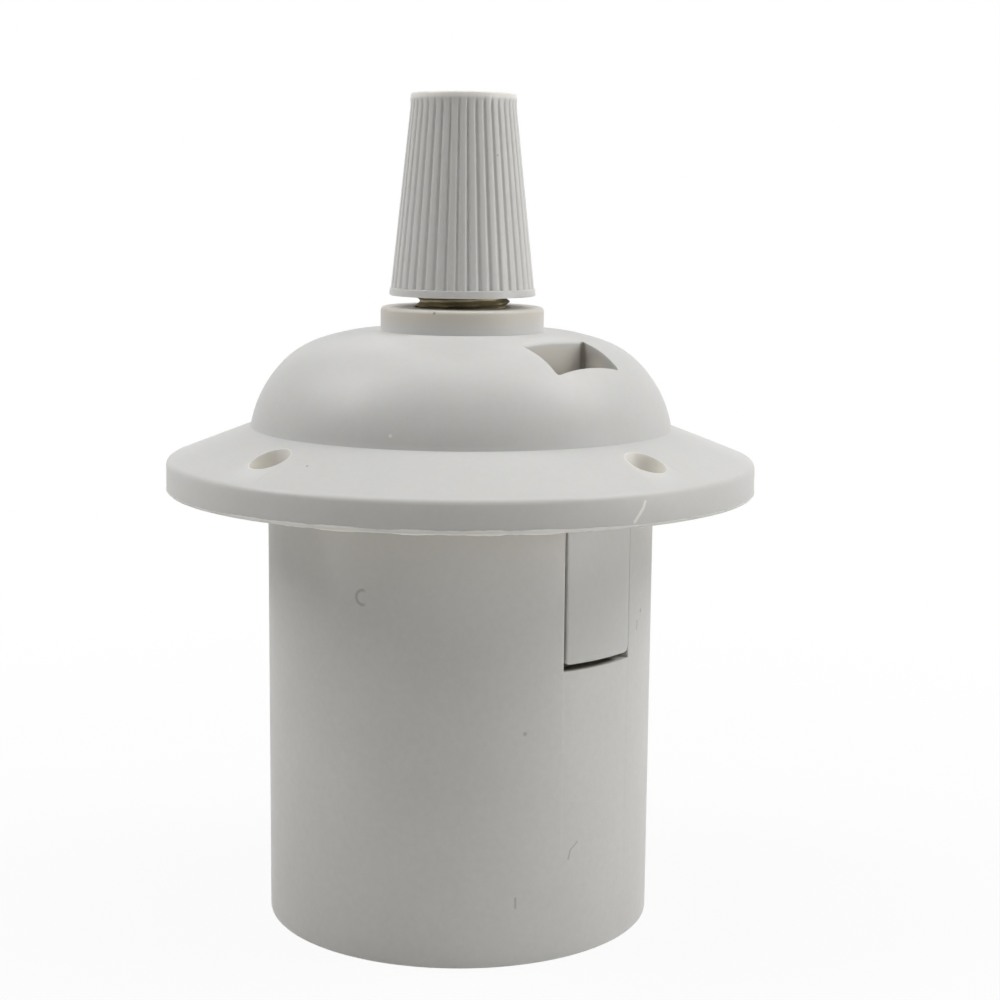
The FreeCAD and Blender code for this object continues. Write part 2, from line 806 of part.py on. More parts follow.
def make_rivet(name, other_side):
    """A rivet through strip, carrier floor and terminal plate, made on Z and set in its place."""
    body = new_body(name)
    head_base = strip_base - d.rivet_head
    head_top = plate_top + d.rivet_head
    sketch = new_sketch(body, "profile")
    corners = [
        (zero, head_base),
        (rivet_head_radius, head_base),
        (rivet_head_radius, strip_base),
        (d.rivet_radius, strip_base),
        (d.rivet_radius, plate_top),
        (rivet_head_radius, plate_top),
        (rivet_head_radius, head_top),
        (zero, head_top),
    ]
    draw_loop(sketch, corners)
    turn(body, "profile", sketch)
    place = -rivet_place if other_side else rivet_place
    body.Placement.Base = FreeCAD.Vector(0, place.value, 0)
    body.setExpression("Placement.Base.y", place.text)
    return body


def make_terminal_block(name, other_side):
    body = new_body(name)
    outer = terminal_place + terminal_half
    sketch = new_sketch(body, "plate", "XY_Plane", chamber_floor)
    draw_box(sketch, -terminal_half, terminal_half, chamber_inner + d.chamber_gap, terminal_inner + d.terminal_edge)
    pad(body, "plate", sketch, d.terminal_plate)
    sketch = new_sketch(body, "block", "XY_Plane", chamber_floor)
    draw_box(sketch, -terminal_half, terminal_half, terminal_inner, outer)
    pad(body, "block", sketch, d.terminal_thickness)
    chamfer_edges(body, "edges", d.terminal_edge, at_height(terminal_top))
    sketch = new_sketch(body, "holes", "XY_Plane", chamber_floor)
    draw_circle(sketch, zero, terminal_place, d.screw_radius + d.screw_fit)
    draw_circle(sketch, zero, rivet_place, d.rivet_radius + d.rivet_fit)
    pocket_up(body, "holes", sketch, d.terminal_thickness)
    if other_side:
        half_turn(body)
    return body


def make_wire_clamp(name, other_side):
    """A square washer whose tab hangs over the inner side of its block and keeps it from turning."""
    body = new_body(name)
    half = terminal_half - d.clamp_inset
    tab_outer = terminal_inner - d.chamber_gap
    tab_inner = tab_outer - d.clamp_tab
    tab_base = plate_top + d.rivet_head + d.clamp_tab_gap
    outer = terminal_place + half
    sketch = new_sketch(body, "folded", "YZ_Plane")
    corners = [
        (tab_inner, tab_base),
        (tab_outer, tab_base),
        (tab_outer, clamp_base),
        (outer, clamp_base),
        (outer, clamp_top),
        (tab_inner, clamp_top),
    ]
    draw_loop(sketch, corners)
    pad(body, "folded", sketch, half * 2, both_ways=True)
    sketch = new_sketch(body, "hole", "XY_Plane", clamp_base)
    draw_circle(sketch, zero, terminal_place, d.screw_radius + d.clamp_hole_gap)
    pocket_up(body, "hole", sketch, d.clamp_thickness)
    if other_side:
        half_turn(body)
    return body


def make_terminal_screw(name, other_side):
    """A slotted cheese-head screw, made on Z and set over its block."""
    body = new_body(name)
    screw_end = chamber_floor + d.screw_end_gap
    head_top = screw_head_base + d.screw_head
    edge = d.terminal_edge
    sketch = new_sketch(body, "profile")
    corners = [
        (zero, screw_end),
        (d.screw_radius - edge, screw_end),
        (d.screw_radius, screw_end + edge),
        (d.screw_radius, screw_head_base),
        (screw_head_radius, screw_head_base),
        (screw_head_radius, head_top - edge),
        (screw_head_radius - edge, head_top),
        (zero, head_top),
    ]
    draw_loop(sketch, corners)
    turn(body, "profile", sketch)
    half = d.screw_slot_width / 2
    sketch = new_sketch(body, "slot", "XY_Plane", head_top - d.screw_slot_depth)
    draw_box(sketch, -screw_head_radius * 2, screw_head_radius * 2, -half, half)
    pocket_up(body, "slot", sketch, d.screw_slot_depth)
    place = -terminal_place if other_side else terminal_place
    body.Placement.Base = FreeCAD.Vector(0, place.value, 0)
    body.setExpression("Placement.Base.y", place.text)
    return body


def make_entry_nipple():
    body = new_body("entry_nipple")
    edge = d.stem_edge
    sketch = new_sketch(body, "tube")
    corners = [
        (stem_bore, stem_base),
        (d.stem_radius - edge, stem_base),
        (d.stem_radius, stem_base + edge),
        (d.stem_radius, stem_top - edge),
        (d.stem_radius - edge, stem_top),
        (stem_bore, stem_top),
    ]
    draw_loop(sketch, corners)
    turn(body, "tube", sketch)
    half = d.stem_slot_width / 2
    sketch = new_sketch(body, "slots", "XY_Plane", stem_slot_base)
    draw_box(sketch, -d.stem_radius * 2, d.stem_radius * 2, -half, half)
    pocket_up(body, "slots", sketch, stem_top - stem_slot_base)
    return body


def make_lock_nut():
    body = new_body("lock_nut")
    flat = d.nut_flats / 2
    corner = flat * (2 / math.sqrt(3))
    half_side = flat * (1 / math.sqrt(3))
    sketch = new_sketch(body, "hexagon", "XY_Plane", nut_base)
    corners = [
        (corner, zero),
        (half_side, flat),
        (-half_side, flat),
        (-corner, zero),
        (-half_side, -flat),
        (half_side, -flat),
    ]
    draw_loop(sketch, corners)
    pad(body, "hexagon", sketch, d.nut_thickness)
    sketch = new_sketch(body, "hole", "XY_Plane", nut_base)
    draw_circle(sketch, zero, zero, nut_hole)
    pocket_up(body, "hole", sketch, d.nut_thickness)
    sketch = new_sketch(body, "crowned_edge")
    beyond = corner + d.nut_chamfer
    corners = [
        (flat, nut_base),
        (beyond, nut_base),
        (beyond, nut_base + d.nut_chamfer),
    ]
    draw_loop(sketch, corners)
    turn(body, "crowned_edge", sketch, cut=True)
    return body


def make_cord_collet():
    """The split collet: its stem slides in the nipple, and its cone meets the cone of the grip."""
    body = new_body("cord_collet")
    head_radius = grip_bore - d.collet_gap
    stem_radius = stem_bore - d.collet_fit
    cone_slope = (grip_bore - grip_throat_radius) / d.grip_cone_length
    tip_radius = head_radius - cone_slope * (collet_head_top - grip_cone_height)
    sketch = new_sketch(body, "profile")
    corners = [
        (d.collet_bore, collet_base),
        (stem_radius, collet_base),
        (stem_radius, collet_head_base),
        (head_radius, collet_head_base),
        (head_radius, grip_cone_height),
        (tip_radius, collet_head_top),
        (d.collet_bore, collet_head_top),
    ]
    draw_loop(sketch, corners)
    turn(body, "profile", sketch)

    lug_half = d.stem_slot_width / 2 - d.collet_lug_side_gap
    lug_base = stem_slot_base + d.collet_lug_rise
    lug_inner = (d.collet_bore + stem_radius) / 2
    sketch = new_sketch(body, "lugs", "XY_Plane", lug_base)
    draw_box(sketch, lug_inner, head_radius, -lug_half, lug_half)
    draw_box(sketch, -head_radius, -lug_inner, -lug_half, lug_half)
    pad(body, "lugs", sketch, d.collet_lug_length)

    slit_half = d.collet_slit / 2
    reach = head_radius * 2
    slit_base = collet_head_base - d.collet_slit_lead
    slit_length = collet_head_top - slit_base
    for name, low_x, high_x, low_y, high_y in (
        ("slit_x", -reach, reach, -slit_half, slit_half),
        ("slit_y", -slit_half, slit_half, -reach, reach),
    ):
        sketch = new_sketch(body, name, "XY_Plane", slit_base)
        draw_box(sketch, low_x, high_x, low_y, high_y)
        pocket_up(body, name, sketch, slit_length)
    return body


def grip_radius_at(height):
    return d.grip_base_radius - grip_lean * (height - grip_base)


def draw_flute(sketch, height):
    """One flute's section at a height: a shallow trough, narrower where the grip is thinner."""
    radius = grip_radius_at(height)
    pitch = radius * (2 * math.pi) / d.flute_count
    mouth_half = pitch * d.flute_share / 2
    floor_half = mouth_half * d.flute_floor_share
    over = d.flute_over
    corners = [
        (radius + over, -mouth_half),
        (radius + over, mouth_half),
        (radius - d.flute_depth, floor_half),
        (radius - d.flute_depth, -floor_half),
    ]
    draw_loop(sketch, corners)


def make_cord_grip_cap():
    body = new_body("cord_grip_cap")
    edge = d.grip_mouth_edge
    sketch = new_sketch(body, "cone")
    corners = [
        (grip_bore + edge, grip_base),
        (d.grip_base_radius, grip_base),
        (d.grip_top_radius, grip_top),
        (grip_throat_radius, grip_top + d.grip_crown),
        (grip_throat_radius, grip_throat_height),
        (grip_bore, grip_cone_height),
        (grip_bore, grip_base + edge),
    ]
    draw_loop(sketch, corners)
    turn(body, "cone", sketch)

    low = grip_base + d.flute_base
    high = grip_top - d.flute_top_margin
    low_sketch = new_sketch(body, "flute_low", "XY_Plane", low)
    draw_flute(low_sketch, low)
    high_sketch = new_sketch(body, "flute_high", "XY_Plane", high)
    draw_flute(high_sketch, high)
    flute = body.newObject("PartDesign::SubtractiveLoft", "cord_grip_cap_flute")
    flute.Profile = (low_sketch, [""])
    flute.Sections = [(high_sketch, [""])]
    flute.Ruled = True
    finish_feature(body, flute, gains=False)
    repeat_around(body, flute, d.flute_count, gains=False)
    return body


def check_and_write(bodies):
    """Refuse a document with a failed object, then write each piece."""
    doc.recompute()
    faults = [o.Name for o in doc.Objects if "Invalid" in o.State or "Error" in o.State]
    faults += [b.Label for b in bodies if b.Shape.isNull() or not b.Shape.isValid()]
    faults += [f"{b.Label} is not one solid" for b in bodies if len(b.Shape.Solids) != 1]
    if faults:
        raise RuntimeError("failed: " + ", ".join(faults))
    for body in bodies:
        body.Shape.exportStep(os.path.join("parts", body.Label + ".step"))


check_and_write([
    make_skirt_shell(),
    make_dome_cap(),
    make_thread_sleeve(),
    make_contact_carrier(),
    make_centre_contact(),
    make_side_contact(),
    make_rivet("centre_contact_rivet", other_side=False),
    make_rivet("side_contact_rivet", other_side=True),
    make_terminal_block("live_terminal_block", other_side=False),
    make_terminal_block("neutral_terminal_block", other_side=True),
    make_wire_clamp("live_wire_clamp", other_side=False),
    make_wire_clamp("neutral_wire_clamp", other_side=True),
    make_terminal_screw("live_terminal_screw", other_side=False),
    make_terminal_screw("neutral_terminal_screw", other_side=True),
    make_entry_nipple(),
    make_lock_nut(),
    make_cord_collet(),
    make_cord_grip_cap(),
])
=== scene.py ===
import bmesh
import bpy
import json
import math
from mathutils import Matrix, Vector, noise


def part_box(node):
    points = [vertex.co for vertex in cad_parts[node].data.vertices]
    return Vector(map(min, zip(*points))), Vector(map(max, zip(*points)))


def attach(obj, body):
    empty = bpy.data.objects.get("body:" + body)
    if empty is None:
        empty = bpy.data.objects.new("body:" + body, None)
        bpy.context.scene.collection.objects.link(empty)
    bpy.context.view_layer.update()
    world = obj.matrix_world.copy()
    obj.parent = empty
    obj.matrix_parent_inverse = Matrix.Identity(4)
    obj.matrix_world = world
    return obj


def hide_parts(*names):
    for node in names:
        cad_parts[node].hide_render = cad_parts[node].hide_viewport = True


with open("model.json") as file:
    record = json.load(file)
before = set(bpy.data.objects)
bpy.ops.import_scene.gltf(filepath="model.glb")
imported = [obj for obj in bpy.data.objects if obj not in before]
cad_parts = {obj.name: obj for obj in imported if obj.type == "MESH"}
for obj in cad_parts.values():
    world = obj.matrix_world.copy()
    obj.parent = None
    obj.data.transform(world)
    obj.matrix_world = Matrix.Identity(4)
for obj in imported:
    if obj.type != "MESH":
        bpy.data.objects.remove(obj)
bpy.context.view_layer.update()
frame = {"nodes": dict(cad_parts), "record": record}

mm = 0.001


def polar(radius, degrees, height):  # degrees run from -Y towards +X
    angle = math.radians(degrees)
    return Vector((radius * math.sin(angle), -radius * math.cos(angle), height))


view = {  # where the camera of the photograph stands, and how it is held
    "distance": 208.44 * mm,
    "azimuth": 46.0,  # degrees, as in polar
    "height": 75.67 * mm,
    "heading": 44.88,
    "pitch": 8.783,
    "roll": 0.567,
    "lens": 72.695,
    "sensor": 36.0,
    "clipStart": 0.01,
}


def addCamera():
    data = bpy.data.cameras.new("photoCamera")
    data.lens = view["lens"]
    data.sensor_width = view["sensor"]
    data.clip_start = view["clipStart"]
    camera = bpy.data.objects.new("photoCamera", data)
    bpy.context.scene.collection.objects.link(camera)
    place = Matrix.Translation(polar(view["distance"], view["azimuth"], view["height"]))
    swing = Matrix.Rotation(math.radians(view["heading"]), 4, "Z")
    tilt = Matrix.Rotation(math.radians(90 - view["pitch"]), 4, "X")
    roll = Matrix.Rotation(math.radians(view["roll"]), 4, "Z")
    camera.matrix_world = place @ swing @ tilt @ roll
    bpy.context.scene.camera = camera


studio = {
    "ambient": 0.02,
    "floorColor": (0.86, 0.845, 0.82, 1.0),
    "floorSpread": 6.0,
    "shadowShare": 0.08,  # of the floor's own light that the camera sees beside the object
    "shadowStart": 0.03,  # metres from the axis where that starts to fade
    "shadowReach": 0.15,  # and where it has faded to plain white
    "aimHeight": 0.045,
    "lamps": {  # azimuth, distance, height, watts, size
        "topSoftbox": (46, 0.0, 0.60, 0.86, 0.50),
        "rightSoftbox": (136, 0.40, 0.50, 1.78, 0.40),
        "leftSoftbox": (-44, 0.40, 0.50, 1.78, 0.40),
        "lowSoftbox": (120, 0.60, 0.06, 0.84, 0.30),
        "frontSoftbox": (46, 0.70, 0.20, 0.08, 0.40),
    },
}


def addLamp(name, azimuth, distance, height, power, size):
    data = bpy.data.lights.new(name, "AREA")
    data.shape = "DISK"
    data.energy = power
    data.size = size
    lamp = bpy.data.objects.new(name, data)
    bpy.context.scene.collection.objects.link(lamp)
    spot = polar(distance, azimuth, height)
    aim = Vector((0, 0, studio["aimHeight"])) - spot
    lamp.matrix_world = Matrix.Translation(spot) @ aim.to_track_quat("-Z", "Y").to_matrix().to_4x4()


def calculate(tree, operation, *values):
    node = tree.nodes.new("ShaderNodeMath")
    node.operation = operation
    for value, socket in zip(values, node.inputs):
        join(tree, value, socket)
    return node.outputs[0]


def join(tree, value, socket):  # a number or a colour is written in, and anything else is linked
    if isinstance(value, (int, float, tuple, Vector)):
        socket.default_value = value
    else:
        tree.links.new(value, socket)


def seenPlainly(tree):  # 1 for the rays that see a plain white room
    path = tree.nodes.new("ShaderNodeLightPath")
    direct = calculate(tree, "MAXIMUM", path.outputs["Is Camera Ray"], path.outputs["Is Glossy Ray"])
    return calculate(tree, "MAXIMUM", direct, path.outputs["Is Transmission Ray"])


def mixShaders(tree, share, first, second, surface):
    mix = tree.nodes.new("ShaderNodeMixShader")
    tree.links.new(share, mix.inputs[0])
    tree.links.new(first, mix.inputs[1])
    tree.links.new(second, mix.inputs[2])
    tree.links.new(mix.outputs[0], surface)


def lightStudio():
    world = bpy.data.worlds.new("softRoom")
    bpy.context.scene.world = world
    world.use_nodes = True
    tree = world.node_tree
    tree.nodes.clear()
    output = tree.nodes.new("ShaderNodeOutputWorld")
    ambient = tree.nodes.new("ShaderNodeBackground")
    white = tree.nodes.new("ShaderNodeBackground")
    for background, strength in ((ambient, studio["ambient"]), (white, 1.0)):
        background.inputs["Color"].default_value = (1.0, 1.0, 1.0, 1.0)
        background.inputs["Strength"].default_value = strength
    mixShaders(tree, seenPlainly(tree), ambient.outputs[0], white.outputs[0], output.inputs["Surface"])
    for name, settings in studio["lamps"].items():
        addLamp(name, *settings)


def addFloor():
    bm = bmesh.new()
    bmesh.ops.create_grid(bm, x_segments=2, y_segments=2, size=studio["floorSpread"] / 2)
    mesh = bpy.data.meshes.new("floor")
    bm.to_mesh(mesh)
    bm.free()
    floor = bpy.data.objects.new("floor", mesh)
    bpy.context.scene.collection.objects.link(floor)
    material = bpy.data.materials.new("paleFloor")
    material.use_nodes = True
    tree = material.node_tree
    tree.nodes.clear()
    output = tree.nodes.new("ShaderNodeOutputMaterial")
    matt = tree.nodes.new("ShaderNodeBsdfDiffuse")
    matt.inputs["Color"].default_value = studio["floorColor"]
    glow = tree.nodes.new("ShaderNodeEmission")
    glow.inputs["Color"].default_value = (1.0, 1.0, 1.0, 1.0)
    place = tree.nodes.new("ShaderNodeTexCoord").outputs["Object"]
    away = tree.nodes.new("ShaderNodeVectorMath")
    away.operation = "LENGTH"
    tree.links.new(place, away.inputs[0])
    fade = tree.nodes.new("ShaderNodeMapRange")
    fade.inputs["From Min"].default_value = studio["shadowStart"]
    fade.inputs["From Max"].default_value = studio["shadowReach"]
    fade.inputs["To Min"].default_value = 1.0 - studio["shadowShare"]
    fade.inputs["To Max"].default_value = 1.0
    tree.links.new(away.outputs["Value"], fade.inputs["Value"])
    share = calculate(tree, "MULTIPLY", seenPlainly(tree), fade.outputs["Result"])
    mixShaders(tree, share, matt.outputs[0], glow.outputs[0], output.inputs["Surface"])
    mesh.materials.append(material)


bpy.context.scene.view_settings.view_transform = "Standard"
addCamera()
lightStudio()
addFloor()
print("camera, lamps and floor are in place")


# Calls that the finishes share. A pattern reads the piece's own Object coordinates.
fullShare = {  # the share of a mark's reach over which it has its full strength
    "spot": 0.4,
    "stroke": 0.35,
    "hook": 0.3,
    "hookOpening": 0.6,
}


def newMaterial(name):
    material = bpy.data.materials.new(name)
    material.use_nodes = True
    tree = material.node_tree
    tree.nodes.new("ShaderNodeTexCoord").name = "place"
    return material, tree, tree.nodes["Principled BSDF"]


def placeOf(tree):
    return tree.nodes["place"].outputs["Object"]


def heightOf(tree):
    level = tree.nodes.new("ShaderNodeSeparateXYZ")
    tree.links.new(placeOf(tree), level.inputs[0])
    return level.outputs["Z"]


def cloud(tree, scale, detail=3.0, roughness=0.55, stretch=None):
    node = tree.nodes.new("ShaderNodeTexNoise")
    node.inputs["Scale"].default_value = scale
    node.inputs["Detail"].default_value = detail
    node.inputs["Roughness"].default_value = roughness
    source = placeOf(tree)
    if stretch:
        mapping = tree.nodes.new("ShaderNodeMapping")
        mapping.inputs["Scale"].default_value = stretch
        tree.links.new(source, mapping.inputs["Vector"])
        source = mapping.outputs[0]
    tree.links.new(source, node.inputs["Vector"])
    return node.outputs["Fac"]


def spread(tree, value, low, high, fromLow=0.3, fromHigh=0.7):
    node = tree.nodes.new("ShaderNodeMapRange")
    node.inputs["From Min"].default_value = fromLow
    node.inputs["From Max"].default_value = fromHigh
    node.inputs["To Min"].default_value = low
    node.inputs["To Max"].default_value = high
    tree.links.new(value, node.inputs["Value"])
    return node.outputs["Result"]


def mixColor(tree, factor, first, second):
    node = tree.nodes.new("ShaderNodeMix")
    node.data_type = "RGBA"
    join(tree, factor, node.inputs[0])
    join(tree, first, node.inputs[6])
    join(tree, second, node.inputs[7])
    return node.outputs[2]


def bump(tree, height, distance, under=None):
    node = tree.nodes.new("ShaderNodeBump")
    node.inputs["Distance"].default_value = distance
    tree.links.new(height, node.inputs["Height"])
    if under is not None:
        tree.links.new(under, node.inputs["Normal"])
    return node.outputs["Normal"]


def vectorMath(tree, operation, first, second):
    node = tree.nodes.new("ShaderNodeVectorMath")
    node.operation = operation
    join(tree, first, node.inputs[0])
    join(tree, second, node.inputs[3 if operation == "SCALE" else 1])
    return node.outputs["Value" if operation in ("DISTANCE", "DOT_PRODUCT", "LENGTH") else "Vector"]


def spot(tree, centre, size):  # 1 at a point of the piece, 0 from that distance on
    away = vectorMath(tree, "DISTANCE", placeOf(tree), centre)
    return spread(tree, away, 1.0, 0.0, size * fullShare["spot"], size)


def stroke(tree, start, end, width):  # 1 along a straight scratch between two points
    along = (end - start).normalized()
    reach = vectorMath(tree, "SUBTRACT", placeOf(tree), start)
    share = vectorMath(tree, "DOT_PRODUCT", reach, along)
    inside = calculate(tree, "MINIMUM", calculate(tree, "MAXIMUM", share, 0.0), (end - start).length)
    nearest = vectorMath(tree, "SCALE", along, inside)
    away = vectorMath(tree, "DISTANCE", reach, nearest)
    return spread(tree, away, 1.0, 0.0, width * fullShare["stroke"], width)


def hook(tree, centre, radius, width, openSide):  # 1 along a small arc that is open on one side
    reach = vectorMath(tree, "SUBTRACT", placeOf(tree), centre)
    away = vectorMath(tree, "LENGTH", reach, centre)
    offRing = calculate(tree, "ABSOLUTE", calculate(tree, "SUBTRACT", away, radius))
    ring = spread(tree, offRing, 1.0, 0.0, width * fullShare["hook"], width)
    side = vectorMath(tree, "DOT_PRODUCT", reach, openSide)
    return calculate(tree, "MULTIPLY", ring, spread(tree, side, 1.0, 0.0, 0.0, radius * fullShare["hookOpening"]))


def within(tree, centre, inner, outer):  # 1 near an upright axis and 0 from the outer distance on
    reach = vectorMath(tree, "SUBTRACT", placeOf(tree), centre)
    level = vectorMath(tree, "MULTIPLY", reach, Vector((1, 1, 0)))
    return spread(tree, vectorMath(tree, "LENGTH", level, level), 1.0, 0.0, inner, outer)


def above(tree, low, high):  # 0 below one height and 1 above another
    return spread(tree, heightOf(tree), 0.0, 1.0, low, high)


def underDome(tree, shallow, deep):  # 0 on the dome's own surface and 1 that far inside it
    outwards = vectorMath(tree, "MULTIPLY", placeOf(tree), Vector((1, 1, 0)))
    radius = vectorMath(tree, "LENGTH", outwards, outwards)
    over = calculate(tree, "MAXIMUM", calculate(tree, "SUBTRACT", radius, cap["arcCentreRadius"]), 0.0)
    rise = calculate(tree, "SUBTRACT", heightOf(tree), cap["arcCentreHeight"])
    squares = [calculate(tree, "MULTIPLY", length, length) for length in (over, rise)]
    reach = calculate(tree, "SQRT", calculate(tree, "ADD", *squares))
    return spread(tree, reach, 1.0, 0.0, cap["arcRadius"] - deep, cap["arcRadius"] - shallow)


def strongest(tree, marks):
    most = marks[0]
    for mark in marks[1:]:
        most = calculate(tree, "MAXIMUM", most, mark)
    return most


plastic = {  # the white moulding: depths in millimetres, scales per metre
    "shade": (0.685, 0.679, 0.661, 1.0),
    "light": (0.712, 0.708, 0.693, 1.0),
    # dark for specks and scratches, and also for painted shade in gaps and corners
    "dirtAndShade": (0.21, 0.185, 0.13, 1.0),
    # for nicks and scratches, and for painted light on walls and edges
    "pale": (0.94, 0.92, 0.87, 1.0),
    "paintedWarmShade": (0.66, 0.632, 0.575, 1.0),  # painted warm shade, where light reaches only after it has met more of the plastic
    "markStrength": 0.8,
    "paintedWarmShadeStrength": 1.0,
    # strength of the painted shade in the gaps
    "gapShadeStrength": 1.0,
    "depth": 0.9,  # how far light spreads inside
    "through": 0.15,
    "throughColor": (1.0, 0.85, 0.6),
    "refraction": 1.49,
    "cloudScale": 90.0,
    "cloudDetail": 4.0,
    "mottleScale": 1400.0,
    "mottleDetail": 2.0,
    "mottle": 0.03,
    "glossScale": 160.0,
    "glossDetail": 2.0,
    "roughness": (0.29, 0.36),
    "waveScale": 45.0,
    "waveDetail": 1.0,
    "waveDepth": 0.06,
    "grainScale": 3200.0,
    "grainDetail": 2.0,
    "grainCoarse": 0.7,
    "grainDepth": 0.006,
}


def whitePlastic(name, finish, dark=(), pale=(), paintedWarmShade=(), paintedGapShade=()):
    material, tree, shader = newMaterial(name)
    clouded = spread(tree, cloud(tree, finish["cloudScale"], finish["cloudDetail"]), 0.0, 1.0)
    color = mixColor(tree, clouded, finish["shade"], finish["light"])
    mottled = spread(tree, cloud(tree, finish["mottleScale"], finish["mottleDetail"]), 0.0, finish["mottle"])
    color = mixColor(tree, mottled, color, finish["dirtAndShade"])
    layers = (
        # painted warm shade
        (paintedWarmShade, finish["paintedWarmShade"], finish["paintedWarmShadeStrength"]),
        (dark, finish["dirtAndShade"], finish["markStrength"]),
        # pale nicks and scratches, and painted light
        (pale, finish["pale"], finish["markStrength"]),
        # painted shade in the gaps under the latches
        (paintedGapShade, finish["dirtAndShade"], finish["gapShadeStrength"]),
    )
    for marks, tint, strength in layers:
        if marks:
            masks = [maker(tree, *settings) for maker, *settings in marks]
            share = calculate(tree, "MULTIPLY", strongest(tree, masks), strength)
            color = mixColor(tree, share, color, tint)
    tree.links.new(color, shader.inputs["Base Color"])
    gloss = cloud(tree, finish["glossScale"], finish["glossDetail"])
    tree.links.new(spread(tree, gloss, *finish["roughness"]), shader.inputs["Roughness"])
    waves = bump(tree, cloud(tree, finish["waveScale"], finish["waveDetail"]), finish["waveDepth"] * mm)
    grain = cloud(tree, finish["grainScale"], finish["grainDetail"], finish["grainCoarse"])
    tree.links.new(bump(tree, grain, finish["grainDepth"] * mm, waves), shader.inputs["Normal"])
    shader.inputs["IOR"].default_value = finish["refraction"]
    shader.inputs["Subsurface Weight"].default_value = finish["through"]
    shader.inputs["Subsurface Radius"].default_value = finish["throughColor"]
    shader.inputs["Subsurface Scale"].default_value = finish["depth"] * mm
    return material


# Calls that the pieces share
shared = {
    "same": 1e-7,  # metres within which two places are one
    "weld": 0.02 * mm,
    "sliver": 0.01 * mm,
    "sharp": 50.0,  # degrees between two faces from which an edge counts as a corner
}


def ringTest(radius, height):
    def onRing(edge):
        return all(abs(math.hypot(v.co.x, v.co.y) - radius) < shared["same"]
                   and abs(v.co.z - height) < shared["same"] for v in edge.verts)

    return onRing


def isSharp(edge, angle=shared["sharp"]):
    return edge.calc_face_angle(0.0) > math.radians(angle)


def roundEdges(bm, edges, width, segments=3):
    bmesh.ops.bevel(bm, geom=edges, offset=width, offset_type="OFFSET", affect="EDGES",
                    segments=segments, profile=0.5, material=-1, clamp_overlap=True)


def spinProfile(corners, steps, degrees=360.0):  # a corner is its radius, its height and its rounding
    bm = bmesh.new()
    full = degrees >= 360.0
    start = 0.0 if full else -math.radians(degrees) / 2
    verts = [bm.verts.new((r * math.cos(start), r * math.sin(start), z)) for r, z, _ in corners]
    edges = [bm.edges.new((a, b)) for a, b in zip(verts, verts[1:] + verts[:1])]
    bmesh.ops.spin(bm, geom=verts + edges, cent=(0, 0, 0), axis=(0, 0, 1), dvec=(0, 0, 0),
                   angle=math.radians(degrees), steps=steps, use_merge=full, use_duplicate=False)
    if not full:
        bmesh.ops.holes_fill(bm, edges=[e for e in bm.edges if e.is_boundary], sides=0)
    bmesh.ops.remove_doubles(bm, verts=bm.verts, dist=shared["same"] / 10)
    bmesh.ops.recalc_face_normals(bm, faces=bm.faces)
    for radius, height, rounding in corners:
        if rounding > 0:
            onRing = ringTest(radius, height)
            roundEdges(bm, [e for e in bm.edges if onRing(e)], rounding)
    return bm


def addPiece(name, bm, material, smoothAngle=32.0):
    mesh = bpy.data.meshes.new(name)
    bm.to_mesh(mesh)
    bm.free()
    mesh.materials.append(material)
    piece = bpy.data.objects.new(name, mesh)
    bpy.context.scene.collection.objects.link(piece)
    smooth(piece, smoothAngle)
    return piece


def smooth(piece, angle=32.0):
    piece.data.shade_smooth()
    piece.data.set_sharp_from_angle(angle=math.radians(angle))


def combine(piece, bm, operation):  # cuts away or joins on a second shape
    other = addPiece("cutter", bm, piece.data.materials[0])
    modifier = piece.modifiers.new("combine", "BOOLEAN")
    modifier.operation = operation
    modifier.solver = "EXACT"
    modifier.object = other
    graph = bpy.context.evaluated_depsgraph_get()
    mesh = bpy.data.meshes.new_from_object(piece.evaluated_get(graph))
    piece.modifiers.clear()
    old, piece.data = piece.data, mesh
    mesh.name = piece.name
    spare = other.data
    bpy.data.objects.remove(other)
    bpy.data.meshes.remove(old)
    bpy.data.meshes.remove(spare)


def block(low, high, uprightRound=0.0):
    bm = bmesh.new()
    size = [b - a for a, b in zip(low, high)]
    centre = [(a + b) / 2 for a, b in zip(low, high)]
    bmesh.ops.create_cube(bm, size=1.0, matrix=Matrix.Translation(centre) @ Matrix.Diagonal((*size, 1.0)))
    if uprightRound:
        uprights = [e for e in bm.edges if abs(e.verts[0].co.z - e.verts[1].co.z) > size[2] / 2]
        roundEdges(bm, uprights, uprightRound, 4)
    return bm


def rotated(bm, degrees):
    bmesh.ops.rotate(bm, verts=bm.verts, cent=(0, 0, 0), matrix=Matrix.Rotation(math.radians(degrees), 3, "Z"))
    return bm


def softenCutEdges(piece, width, angle):  # welds the slivers of a cut, then rounds what is left sharp
    bm = bmesh.new()
    bm.from_mesh(piece.data)
    bmesh.ops.remove_doubles(bm, verts=bm.verts, dist=shared["weld"])
    bmesh.ops.dissolve_degenerate(bm, edges=bm.edges, dist=shared["sliver"])
    roundEdges(bm, [e for e in bm.edges if e.is_manifold and isSharp(e, angle)], width, 2)
    bm.to_mesh(piece.data)
    bm.free()


def finishPiece(piece, body, node):
    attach(piece, body)
    if node:
        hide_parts(node)


